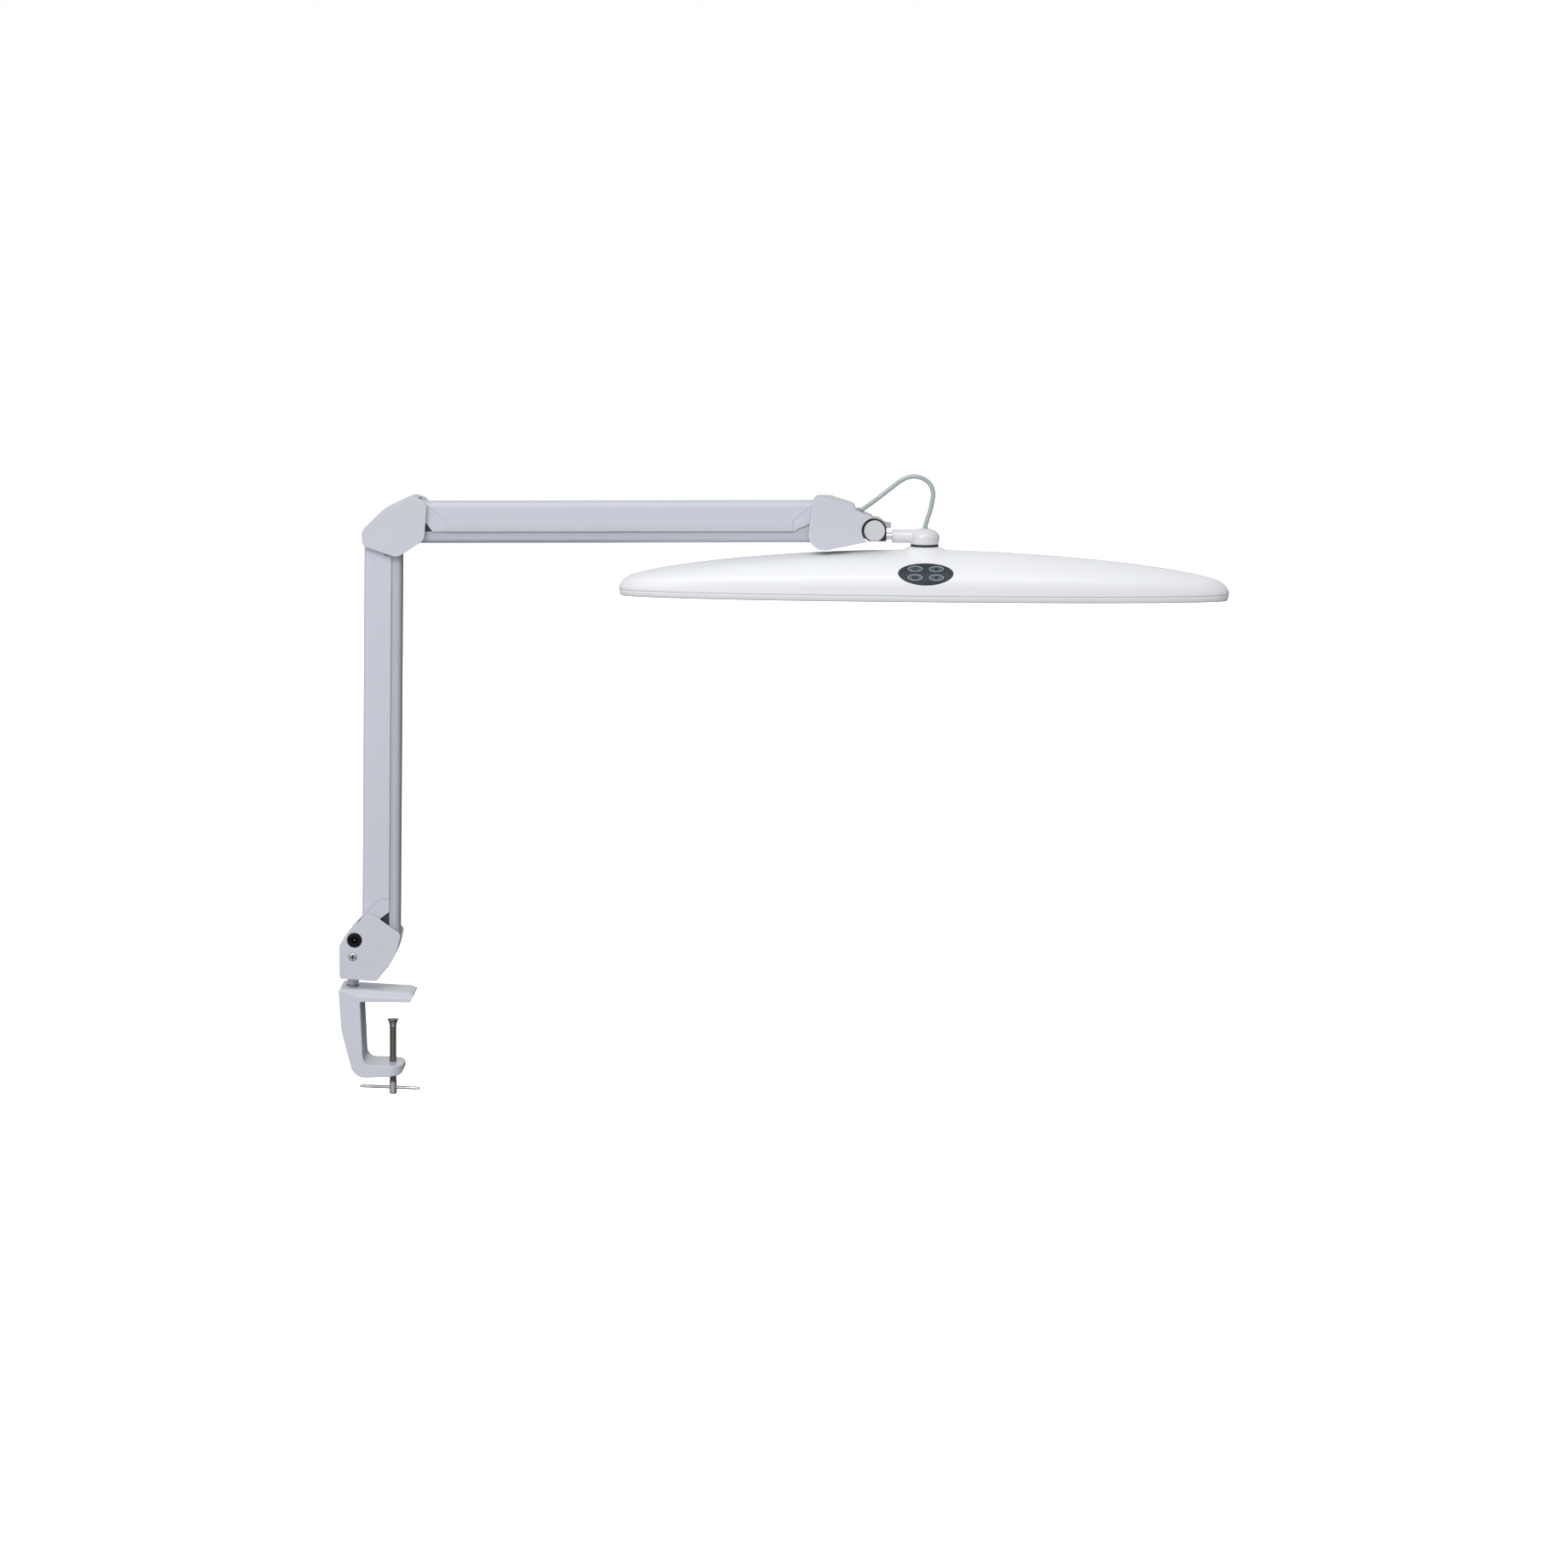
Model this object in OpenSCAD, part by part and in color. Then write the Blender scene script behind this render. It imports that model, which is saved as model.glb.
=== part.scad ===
// Swing arm desk lamp: edge clamp, two parallel-link arms with covered
// knuckles, and a long LED head on a tilt, roll and swivel joint.
// Units are millimetres. The origin is the centre of the clamp's upper jaw
// face, +X runs from the clamp towards the head, +Z is up.

/* [Arms] */
// Lower arm, pivot to pivot
lower_len = 367; // [300:1:420]
// Upper arm, pivot to pivot
upper_len = 378; // [340:1:440]
// Lean of the lower arm from vertical, in degrees
lower_lean = 0.5; // [0:0.1:3]
// Rise of the upper arm from horizontal, in degrees
upper_rise = 0.6; // [0:0.1:2]
// Sheet thickness of the arm channels
sheet_t = 1.5; // [1:0.1:1.6]

/* [Knuckles] */
// Outside width over the two cover plates
knuckle_w = 41; // [40:0.5:46]
// Thickness of a cover plate
cover_t = 2; // [1.5:0.1:2]
// Radius of the pivot pins
pin_r = 3; // [2.5:0.1:3.2]
// Running clearance of the pins, radial
fit = 0.05; // [0.02:0.01:0.08]

/* [Clamp] */
// Width of the clamp casting
clamp_w = 50; // [44:1:56]
// Throat height between the jaws
throat = 61; // [56:1:64]
// Radius of the clamp screw
screw_r = 3.5; // [3:0.1:4]
// Height of the pressure pad's face below the upper jaw
pad_gap = 20.2; // [12:0.1:30]
// Radius of the spigot that turns in the clamp
spigot_r = 4; // [3.5:0.1:4.5]

/* [Head] */
// Length of the head
head_len = 569; // [540:1:600]
// Width of the head
head_w = 88; // [84:1:96]
// Wall of the head's housing
wall = 2; // [1.6:0.1:2.4]
// Height of the domed part of the housing
dome_h = 32.2; // [30:0.1:33]
// Number of LEDs in a row
led_count = 39; // [20:1:40]

/* [Cable] */
// Diameter of the lead
lead_d = 4.5; // [4:0.1:5]

/* [Hidden] */
$fn = 48;
white = "WhiteSmoke";
pale = "Lavender";

// --- pivots, as [x, z] -------------------------------------------------
base_pin = [-14, 71];
link_low = [18.4, -8];
elbow_pin = base_pin + lower_len * [sin(lower_lean), cos(lower_lean)];
shoulder_pin = elbow_pin + [40, 22];
link_up = [-4.6, -20.2];
head_pin = shoulder_pin + upper_len * [cos(upper_rise), sin(upper_rise)];
tilt_pin = head_pin + [48, -16.2];
rod_z = tilt_pin[1] - 6.1;
swivel_x = tilt_pin[0] + 46.8;
swivel_axis_x = -32;

// --- widths across the knuckle (half widths along Y) --------------------
cover_out = knuckle_w / 2;
cover_in = cover_out - cover_t;
plate_in = cover_in - 2.3;
outer_half = plate_in - 0.5;
inner_half = outer_half - sheet_t - 0.5;
pin_end_outer = outer_half - sheet_t - 0.3;
pin_end_inner = inner_half - sheet_t - 0.2;

// --- channel sections, measured from the pivot line ---------------------
// Web of the channels, and of the upper outer channel, which is deeper
web_off = 8.2;
upper_web = 10;
outer_reach = 17.2;
inner_reach = 10;

// --- knuckle outlines, relative to their first pivot: [x, z, radius] ----
base_outline = [[-29.1, -49.8, 2.5], [5.7, -52, 5], [23.6, -30, 60],
    [28.9, -7, 5], [-1.2, 14.2, 11], [-17, -1.6, 30], [-29.1, -17.5, 4]];
elbow_outline = [[22.8, -19.4, 9], [48.1, -2.6, 7], [50.8, 33.8, 9],
    [36.3, 37.8, 8], [8.3, 24.3, 40], [-10.1, 6, 10], [-10, -8.6, 7]];
head_outline = [[-16, -39.1, 15], [54, -23.9, 0], [54, -7.3, 0],
    [3, 14.3, 8], [-9, 14.6, 7]];
bite_r = 12;

// --- head levels ---------------------------------------------------------
neck_top = rod_z - 9.4;
crest_z = neck_top - 3.1;
shoulder_z = crest_z - dome_h;
skirt = 7.2;
split_z = shoulder_z - skirt;
head_bottom = split_z - 5.9;
head_x = swivel_x;
half_l = head_len / 2;
half_w = head_w / 2;
plan_n = 2.2;
crown_n = 1.7;

// --- keypad ----------------------------------------------------------------
key_tilt = 31;
panel_c = [head_x + 0.7, -38.2, shoulder_z + 12.9];
panel_l = 51.3;
panel_h = 22.9;
key_l = 14;
key_h = 6.4;
key_pitch_x = 19.6;
key_pitch_z = 8.9;
key_stroke = 0.6;

// --- clamp screw -----------------------------------------------------------
screw_x = 5.4;
screw_end = -92.4;
bar_z = -86.2;
bar_r = 1.6;
bar_len = 58;
bar_turn = -8;
bar_shift = -3.2;
jaw_z = -throat;

// --- cable route from the tilt pivot, as [x, y, z] --------------------------
loop_route = [[-42, 8.5, 17.7], [-36, 5.5, 15.6], [-31, 3, 13.8],
    [-25, 1, 12.6], [-19, 0, 14], [-15, 0, 16], [-11, 0, 18.8],
    [-2, 0, 25.2], [7, 0, 32.2], [16, 0, 39.4], [24, 0, 45.5],
    [31, 0, 48.8], [38, 0, 49.5], [44.4, 0, 47.8], [49.8, 0, 44.2],
    [53, 0, 39.2], [54.2, 0, 33.7], [53.7, 0, 28], [51.9, 0, 18.7],
    [49.4, 0, 10.7], [47.4, 0, 3.2], [46.8, 0, -2], [46.8, 0, -6]];

// ===== helpers ===============================================================
function unit(v) = v / norm(v);

// Points of a round corner at p1, of radius r
function fillet(p0, p1, p2, r, n) =
    let (u = unit(p0 - p1), v = unit(p2 - p1),
        half = acos(u * v) / 2,
        c = p1 + unit(u + v) * r / sin(half),
        a = p1 + u * r / tan(half) - c,
        b = p1 + v * r / tan(half) - c,
        a0 = atan2(a[1], a[0]),
        turn = atan2(a[0] * b[1] - a[1] * b[0], a * b))
    [for (i = [0:n]) c + r * [cos(a0 + turn * i / n), sin(a0 + turn * i / n)]];

// Outline with round corners from a list of [x, z, radius]
function rounded(q, n = 6) = [for (i = [0:len(q) - 1])
    let (k = len(q), p0 = q[(i + k - 1) % k], p1 = q[i], p2 = q[(i + 1) % k])
    each (p1[2] > 0
        ? fillet([p0[0], p0[1]], [p1[0], p1[1]], [p2[0], p2[1]], p1[2], n)
        : [[p1[0], p1[1]]])];

// Extrudes a 2D shape, drawn in x and z, from y0 to y1
module slab(y0, y1)
    translate([0, y1, 0]) rotate([90, 0, 0]) linear_extrude(y1 - y0) children();

// Round bar along Y at [x, z]
module bar_y(at, r, y0, y1)
    translate([at[0], y1, at[1]]) rotate([90, 0, 0]) cylinder(r = r, h = y1 - y0);

// Repeats its children mirrored to the back
module both_sides() {
    children();
    mirror([0, 1, 0]) children();
}

// Moves children, drawn about a pivot, to that pivot
module at_pin(p)
    translate([p[0], 0, p[1]]) children();

// Tube along a list of 3D points, each ring square to the route
function route_dir(p, i) =
    unit(p[min(i + 1, len(p) - 1)] - p[max(i - 1, 0)]);
function ring(c, d, r, n) =
    let (s = abs(d[1]) > 0.9 ? [1, 0, 0] : [0, 1, 0],
        u = unit(cross(d, s)), v = cross(d, u))
    [for (k = [0:n - 1]) c + r * (cos(360 * k / n) * u + sin(360 * k / n) * v)];
module tube(p, r, n = 8) {
    m = len(p);
    pts = [for (i = [0:m - 1]) each ring(p[i], route_dir(p, i), r, n)];
    sides = [for (i = [0:m - 2], k = [0:n - 1])
        let (a = i * n + k, b = i * n + (k + 1) % n)
        each [[a, b, b + n], [a, b + n, a + n]]];
    polyhedron(points = pts, faces = concat(
        [[for (k = [n - 1:-1:0]) k]], sides,
        [[for (k = [0:n - 1]) (m - 1) * n + k]]), convexity = 8);
}

// ===== clamp =================================================================
clamp_profile = [[-43.9, 12.2, 2.5], [-41.3, -27.7, 60], [-29.5, -73.2, 14],
    [5.1, -71.5, 30], [16.3, -70.2, 5], [16.3, -61.6, 2.5],
    [5, -61, 20], [-20.6, -61, 9], [-23.3, 0, 0.8], [23.6, 0, 0.8],
    [27.3, 6.3, 1.5], [21.7, 9.0, 1.5]];

// Wedge that is cut off along one top edge of the upper jaw
module jaw_chamfer() {
    y0 = -clamp_w / 2 - 0.01;
    y1 = -clamp_w / 2 + 7;
    polyhedron(points = [[-44.5, y0, 12.4], [-24.8, y0, 5.2],
        [-24.8, y1, 12.4], [-24.8, y0, 14], [30, y0, 3.6],
        [30, y1, 9.2], [30, y0, 14], [-24.8, y1, 14], [30, y1, 14]],
        faces = [[0, 1, 2], [0, 3, 1], [0, 2, 7, 3], [1, 4, 5, 2],
            [1, 3, 6, 4], [2, 5, 8, 7], [3, 7, 8, 6], [4, 6, 8, 5]]);
}

// Rounds one upright corner of the lower jaw's end
lower_end_x = 16.3;
corner_r = 14;
module jaw_corner()
    translate([lower_end_x - corner_r, corner_r - clamp_w / 2, jaw_z - 16])
        difference() {
            translate([0, -corner_r - 1, 0])
                cube([corner_r + 1, corner_r + 1, 18]);
            translate([0, 0, -1]) cylinder(r = corner_r, h = 20);
        }

module clamp_body() {
    color(white) difference() {
        slab(-clamp_w / 2, clamp_w / 2) polygon(rounded(clamp_profile));
        both_sides() jaw_chamfer();
        both_sides() jaw_corner();
        translate([swivel_axis_x, 0, -30])
            cylinder(r = spigot_r + 2, h = 60);
        translate([swivel_axis_x, 0, 11.4])
            cylinder(r1 = spigot_r + 2, r2 = spigot_r + 3.5, h = 1.5);
        translate([screw_x, 0, jaw_z - 20])
            cylinder(r = screw_r + fit, h = 40);
    }
}

module spigot_bush() {
    color("DimGray") translate([swivel_axis_x, 0, 0]) difference() {
        translate([0, 0, -29.9]) cylinder(r = spigot_r + 2, h = 41.3);
        translate([0, 0, -28]) cylinder(r = spigot_r + fit, h = 50);
    }
}

module pressure_pad() {
    color("Gainsboro") translate([screw_x, 0, -pad_gap]) difference() {
        rotate_extrude() polygon([[0, 0], [5.7, 0], [5.8, -0.5], [4.2, -1.6],
            [3.9, -2.6], [3.9, -4.6], [0, -4.6]]);
        translate([0, 0, -4.7]) cylinder(r = 2 + fit, h = 3);
    }
}

module clamp_screw() {
    top = -pad_gap - 4.7;
    color("SlateGray") translate([screw_x, 0, 0]) difference() {
        union() {
            translate([0, 0, screw_end + 0.8])
                cylinder(r = screw_r, h = top - screw_end - 0.8);
            translate([0, 0, screw_end])
                cylinder(r1 = screw_r - 0.8, r2 = screw_r, h = 0.8);
            translate([0, 0, top - 0.1]) cylinder(r = 2, h = 2.6);
        }
        translate([0, 0, bar_z]) rotate([0, 0, bar_turn])
            rotate([0, 90, 0]) cylinder(r = bar_r + fit, h = 20, center = true);
    }
}

module tommy_bar() {
    color("Silver") translate([screw_x, 0, bar_z]) rotate([0, 0, bar_turn])
        translate([bar_shift, 0, 0]) rotate([0, 90, 0]) union() {
            cylinder(r = bar_r, h = bar_len, center = true);
            for (s = [-1, 1])
                translate([0, 0, s * (bar_len / 2 - 1.5)])
                    cube([2.6, 4, 3], center = true);
        }
}

// ===== knuckles ==============================================================
// One cover plate of a knuckle, on the front
module cover_plate(outline)
    slab(-cover_out, -cover_in) polygon(rounded(outline));

// Inner side plate of a knuckle, on the front
module side_plate(outline)
    slab(-cover_in, -plate_in) offset(delta = -1.2) polygon(rounded(outline));

// Wall that joins the two side plates, kept inside the given area
module rim_wall(outline, area, t = 1.8)
    slab(-plate_in, plate_in) intersection() {
        difference() {
            offset(delta = -0.6) polygon(rounded(outline));
            offset(delta = -0.6 - t) polygon(rounded(outline));
        }
        polygon(area);
    }

// Pivot pins for an outer channel and for an inner channel
module outer_pins(p)
    both_sides() bar_y(p, pin_r, -cover_in, -pin_end_outer);
module inner_pins(p)
    both_sides() bar_y(p, pin_r, -cover_in, -pin_end_inner);
module pin_bore(p)
    bar_y(p, pin_r, -cover_out, cover_out);

// --- base knuckle
dc_at = [-28.8, 57.9];
base_screw_at = [-30.5, 41.9];

module base_bracket() {
    color(pale) difference() {
        union() {
            at_pin(base_pin) {
                both_sides() side_plate(base_outline);
                rim_wall(base_outline,
                    [[-40, -60], [-10, -60], [-13, 3], [-40, 3]]);
            }
            translate([-41, -plate_in, 21]) cube([20, 2 * plate_in, 9]);
            translate([swivel_axis_x, 0, 12.2])
                cylinder(r1 = spigot_r, r2 = spigot_r + 1.8, h = 5);
            translate([swivel_axis_x, 0, 17])
                cylinder(r = spigot_r + 1.8, h = 5);
            translate([swivel_axis_x, 0, -27])
                cylinder(r = spigot_r, h = 39.4);
        }
        pin_bore(base_pin);
        pin_bore(base_pin + link_low);
        bar_y(dc_at, 5.6, -cover_out, -plate_in + 1);
        bar_y(base_screw_at, 1.6, -cover_out, cover_out);
    }
}

module base_cover_front() {
    color(pale) difference() {
        at_pin(base_pin) cover_plate(base_outline);
        bar_y(dc_at, 6.6, -cover_out - 1, 0);
        bar_y(base_screw_at, 3.75, -cover_out - 1, -cover_in - 1);
        bar_y(base_screw_at, 1.6, -cover_out - 1, 0);
    }
}

module base_cover_back() {
    color(pale) mirror([0, 1, 0]) difference() {
        at_pin(base_pin) cover_plate(base_outline);
        bar_y(base_screw_at, 3.75, -cover_out - 1, -cover_in - 1);
        bar_y(base_screw_at, 1.6, -cover_out - 1, 0);
    }
}

module cross_screw(p)
    difference() {
        union() {
            bar_y(p, 3.7, -cover_out - 0.2, -cover_in - 1);
            bar_y(p, 1.6, -cover_in - 1, -plate_in + 3);
        }
        for (a = [0, 90])
            translate([p[0], -cover_out, p[1]]) rotate([0, a, 0])
                cube([3.6, 1.6, 0.9], center = true);
    }

module base_cover_screws() {
    color("Silver") both_sides() cross_screw(base_screw_at);
}

module dc_socket() {
    color("DimGray") difference() {
        union() {
            bar_y(dc_at, 6.6, -cover_out - 0.3, -cover_in);
            bar_y(dc_at, 5.6, -cover_in, -2);
        }
        bar_y(dc_at, 2.8, -cover_out - 1, -cover_out + 9);
        bar_y(dc_at, 0.95, -cover_out + 8, -cover_out + 11);
    }
}

module dc_pin() {
    color("Gold") bar_y(dc_at, 0.95, -cover_out + 1, -cover_out + 11);
}

module base_pivot_pins() {
    color("Silver") {
        outer_pins(base_pin);
        inner_pins(base_pin + link_low);
    }
}

module base_lead() {
    a = [dc_at[0], 0.2, dc_at[1]];
    b = [base_pin[0] - 7.5, lead_y, base_pin[1] - 10];
    color("Silver") tube([for (i = [0:3]) a + (b - a) * i / 3], lead_d / 2);
}

// ===== arm channels ============================================================
// Drawn with the first pivot at the origin and the arm along +Z. +X faces
// the other channel of the pair.
module outer_channel(len, notch, web = web_off) {
    outline = concat(
        [[-web, len], [-web, 0]],
        [for (a = [200:20:340]) web * [cos(a), sin(a)]],
        notch,
        [for (a = [20:20:160]) [web * cos(a), len + web * sin(a)]]);
    difference() {
        slab(-outer_half, outer_half) polygon(outline);
        translate([-web + sheet_t, -outer_half + sheet_t, -20])
            cube([60, 2 * (outer_half - sheet_t), len + 40]);
        bar_y([0, 0], pin_r + fit, -30, 30);
        bar_y([0, len], pin_r + fit, -30, 30);
    }
}

module inner_channel(len) {
    outline = concat(
        [[web_off, 0], [web_off, len]],
        [for (a = [20:20:160]) [web_off * cos(a), len + web_off * sin(a)]],
        [[-inner_reach, len - 8], [-inner_reach, 8]],
        [for (a = [200:20:340]) web_off * [cos(a), sin(a)]]);
    difference() {
        slab(-inner_half, inner_half) polygon(outline);
        translate([-60, -inner_half + sheet_t, -20])
            cube([60 + web_off - sheet_t, 2 * (inner_half - sheet_t), len + 40]);
        bar_y([0, 0], pin_r + fit, -30, 30);
        bar_y([0, len], pin_r + fit, -30, 30);
    }
}

// Coil spring with an eye at each end, drawn as its envelope from p to q
module spring(p, q) {
    d = q - p;
    turn = atan2(d[0], d[1]);
    translate([p[0], 0, p[1]]) rotate([0, turn, 0]) {
        translate([0, 0, 8]) difference() {
            cylinder(r = 4.5, h = norm(d) - 16);
            translate([0, 0, 1]) cylinder(r = 3.1, h = norm(d) - 18);
        }
        for (z = [0, norm(d)])
            translate([0, 0, z]) rotate([90, 0, 0])
                rotate_extrude() translate([3.4, 0]) circle(r = 0.7);
        for (s = [4.05, norm(d) - 8.05])
            translate([0, 0, s]) cylinder(r = 0.7, h = 4);
    }
}

module lower_frame()
    at_pin(base_pin) rotate([0, lower_lean, 0]) children();
module lower_link_frame()
    at_pin(base_pin + link_low) rotate([0, lower_lean, 0]) children();
module upper_frame()
    at_pin(shoulder_pin) rotate([0, 90 - upper_rise, 0]) children();
module upper_link_frame()
    at_pin(shoulder_pin + link_up) rotate([0, 90 - upper_rise, 0]) children();

// Corner cuts that let the inner channel's pins pass, at both ends
lower_notch = [[web_off, 3], [9.3, 7.4], [outer_reach, 13.5],
    [outer_reach, lower_len - 18.5], [11, lower_len - 17.6],
    [9, lower_len - 12], [web_off, lower_len - 3]];
upper_notch = [[web_off, 3], [9.3, 9.6], [outer_reach, 15.2],
    [outer_reach, upper_len - 24], [15.8, upper_len - 25],
    [11, upper_len - 14], [9, upper_len - 8], [web_off, upper_len - 3]];

lower_anchor_u = 70;
lower_link_u = 262;
upper_anchor_u = 80;
upper_link_u = 272;
anchor_v = 1.5;
link_anchor_v = -6.5;
anchor_r = 2;
lead_y = 8.5;
lead_v = -4.2;

module lower_outer_channel() {
    color(pale) lower_frame() difference() {
        outer_channel(lower_len, lower_notch);
        bar_y([anchor_v, lower_anchor_u], anchor_r, -30, 30);
    }
}

module upper_outer_channel() {
    color(pale) upper_frame() difference() {
        outer_channel(upper_len, upper_notch, upper_web);
        bar_y([anchor_v, upper_anchor_u], anchor_r, -30, 30);
    }
}

module lower_inner_channel() {
    color("Silver") lower_link_frame() difference() {
        inner_channel(lower_len);
        bar_y([link_anchor_v, lower_link_u], anchor_r, -30, 30);
    }
}

module upper_inner_channel() {
    color("Silver") upper_link_frame() difference() {
        inner_channel(upper_len);
        bar_y([link_anchor_v, upper_link_u], anchor_r, -30, 30);
    }
}

module lower_spring_anchor() {
    color("Silver") lower_frame()
        bar_y([anchor_v, lower_anchor_u], anchor_r, -outer_half, outer_half);
}

module upper_spring_anchor() {
    color("Silver") upper_frame()
        bar_y([anchor_v, upper_anchor_u], anchor_r, -outer_half, outer_half);
}

module lower_link_anchor() {
    color("Silver") lower_link_frame()
        bar_y([link_anchor_v, lower_link_u], anchor_r, -inner_half, inner_half);
}

module upper_link_anchor() {
    color("Silver") upper_link_frame()
        bar_y([link_anchor_v, upper_link_u], anchor_r, -inner_half, inner_half);
}

// Where a point of the inner channel lies in the outer channel's frame
function in_lower(p) = p + [link_low[0] * cos(lower_lean) - link_low[1] * sin(lower_lean),
    link_low[0] * sin(lower_lean) + link_low[1] * cos(lower_lean)];
function in_upper(p) = p + [link_up[0] * sin(upper_rise) - link_up[1] * cos(upper_rise),
    link_up[0] * cos(upper_rise) + link_up[1] * sin(upper_rise)];

module lower_spring() {
    color("Silver") lower_frame()
        spring([anchor_v, lower_anchor_u], in_lower([link_anchor_v, lower_link_u]));
}

module upper_spring() {
    color("Silver") upper_frame()
        spring([anchor_v, upper_anchor_u], in_upper([link_anchor_v, upper_link_u]));
}

module straight_lead(len) {
    n = round((len - 8) / 13.5);
    tube([for (i = [0:n]) [lead_v, lead_y, 4 + (len - 8) * i / n]], lead_d / 2);
}

module lower_lead() {
    color("Silver") lower_frame() straight_lead(lower_len);
}

module upper_lead() {
    color("Silver") upper_frame() straight_lead(upper_len);
}

// --- elbow knuckle
module elbow_bracket() {
    color(pale) difference() {
        at_pin(elbow_pin) {
            both_sides() side_plate(elbow_outline);
            rim_wall(elbow_outline,
                [[-4, 13], [34, 50], [41, 50], [41, 30], [12, 5]]);
        }
        pin_bore(elbow_pin);
        pin_bore(elbow_pin + link_low);
        pin_bore(shoulder_pin);
        pin_bore(shoulder_pin + link_up);
    }
}

module elbow_cover_front() {
    color(pale) at_pin(elbow_pin) cover_plate(elbow_outline);
}

module elbow_cover_back() {
    color(pale) mirror([0, 1, 0]) at_pin(elbow_pin) cover_plate(elbow_outline);
}

module elbow_pivot_pins() {
    color("Silver") {
        outer_pins(elbow_pin);
        inner_pins(elbow_pin + link_low);
        outer_pins(shoulder_pin);
        inner_pins(shoulder_pin + link_up);
    }
}

module elbow_lead() {
    a = [elbow_pin[0] - 2, lead_y, elbow_pin[1] + 1];
    b = [shoulder_pin[0] - 2, lead_y, shoulder_pin[1] + 3];
    color("Silver") tube([for (i = [0:3]) a + (b - a) * (0.1 + 0.8 * i / 3)],
        lead_d / 2);
}

// --- head knuckle
tongue_half = 6;
bolt_r = 3;

module bite()
    bar_y(tilt_pin, bite_r, -30, 30);

// Wedge on the top wall, beside the cable's way out
module top_hump()
    at_pin(head_pin) slab(-plate_in, plate_in)
        polygon([[10, 9.7], [11, 13.2], [28.4, 7.4], [30, 4.2], [30, 1.4]]);

module head_bracket() {
    color(pale) difference() {
        union() {
            difference() {
                union() {
                    at_pin(head_pin) {
                        both_sides() side_plate(head_outline);
                        rim_wall(head_outline,
                            [[3.5, 30], [50, 20], [50, -9], [3.5, 5]]);
                    }
                    top_hump();
                    translate([head_pin[0] + 24, -plate_in, head_pin[1] - 27])
                        cube([11, 2 * plate_in, 20]);
                }
                bite();
            }
            translate([head_pin[0] + 30, -tongue_half, tilt_pin[1] - 7])
                cube([tilt_pin[0] - head_pin[0] - 30, 2 * tongue_half, 14]);
            bar_y(tilt_pin, 7, -tongue_half, tongue_half);
        }
        bar_y(tilt_pin, bolt_r, -30, 30);
        pin_bore(head_pin);
        pin_bore(head_pin + link_up);
        translate([tilt_pin[0] - 15, 0, tilt_pin[1] + 16]) rotate([0, 55, 0])
            translate([0, 0, -12]) cylinder(r = 3.6, h = 20);
    }
}

module head_cover_front() {
    color(pale) difference() {
        at_pin(head_pin) cover_plate(head_outline);
        bite();
    }
}

module head_cover_back() {
    color(pale) difference() {
        mirror([0, 1, 0]) at_pin(head_pin) cover_plate(head_outline);
        bite();
    }
}

module head_pivot_pins() {
    color("Silver") {
        outer_pins(head_pin);
        inner_pins(head_pin + link_up);
    }
}

module cable_grommet() {
    color("Gray") translate([tilt_pin[0] - 15, 0, tilt_pin[1] + 16])
        rotate([0, 55, 0]) difference() {
            translate([0, 0, -1]) cylinder(r = 3.6, h = 3.6);
            translate([0, 0, -2]) cylinder(r = lead_d / 2 + 0.3, h = 8);
        }
}

module head_cable() {
    color("Silver") translate([tilt_pin[0], 0, tilt_pin[1]])
        tube(loop_route, lead_d / 2);
}

// ===== tilt, roll and swivel joint =============================================
block_r = 11.2;
cheek_in = tongue_half + 0.3;
block_half = 15.9;
cap_r = 9.7;
flat_z = -9.9;

module tilt_bolt() {
    color("Silver") bar_y(tilt_pin, bolt_r, -block_half + 3, block_half + 3.4);
}

module tilt_block() {
    color("DimGray") difference() {
        at_pin(tilt_pin) slab(-block_half, block_half) intersection() {
            union() {
                circle(r = block_r);
                translate([0, -20]) square([11.1, 20]);
            }
            translate([-20, flat_z]) square(40);
        }
        translate([tilt_pin[0] - 20, -cheek_in, tilt_pin[1] - 20])
            cube([28.5, 2 * cheek_in, 40]);
        bar_y(tilt_pin, bolt_r + fit, -30, 30);
        translate([tilt_pin[0] + 8, 0, rod_z]) rotate([0, 90, 0])
            cylinder(r = 3.4, h = 20);
    }
}

module tilt_cap() {
    color(white) difference() {
        at_pin(tilt_pin) slab(-block_half - 2.4, -block_half) intersection() {
            circle(r = cap_r);
            translate([-20, -9.1]) square([40, 40]);
        }
        bar_y(tilt_pin, bolt_r + fit, -block_half - 0.6, -block_half + 1);
    }
}

module lock_lever() {
    color(white) difference() {
        union() {
            bar_y(tilt_pin, cap_r, block_half + 0.3, block_half + 3.5);
            at_pin(tilt_pin) slab(block_half + 0.3, block_half + 5.5)
                polygon(rounded([[2, -1, 0], [15.9, -0.4, 1.2],
                    [16.1, 5.1, 1.2], [2, 7, 0]]));
        }
        bar_y(tilt_pin, bolt_r + fit, 0, 40);
    }
}

module head_rod() {
    color("Gainsboro") translate([tilt_pin[0] + 8.6, 0, rod_z])
        rotate([0, 90, 0]) cylinder(r = 3.4, h = 22);
}

sleeve_x0 = tilt_pin[0] + 16.3;
sleeve_r = 6.45;
dome_r = 14;
dome_bottom = neck_top + 2.1;
// Height over the rod at which the cable's way in starts to flare
mouth_z = 3.4;

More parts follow.
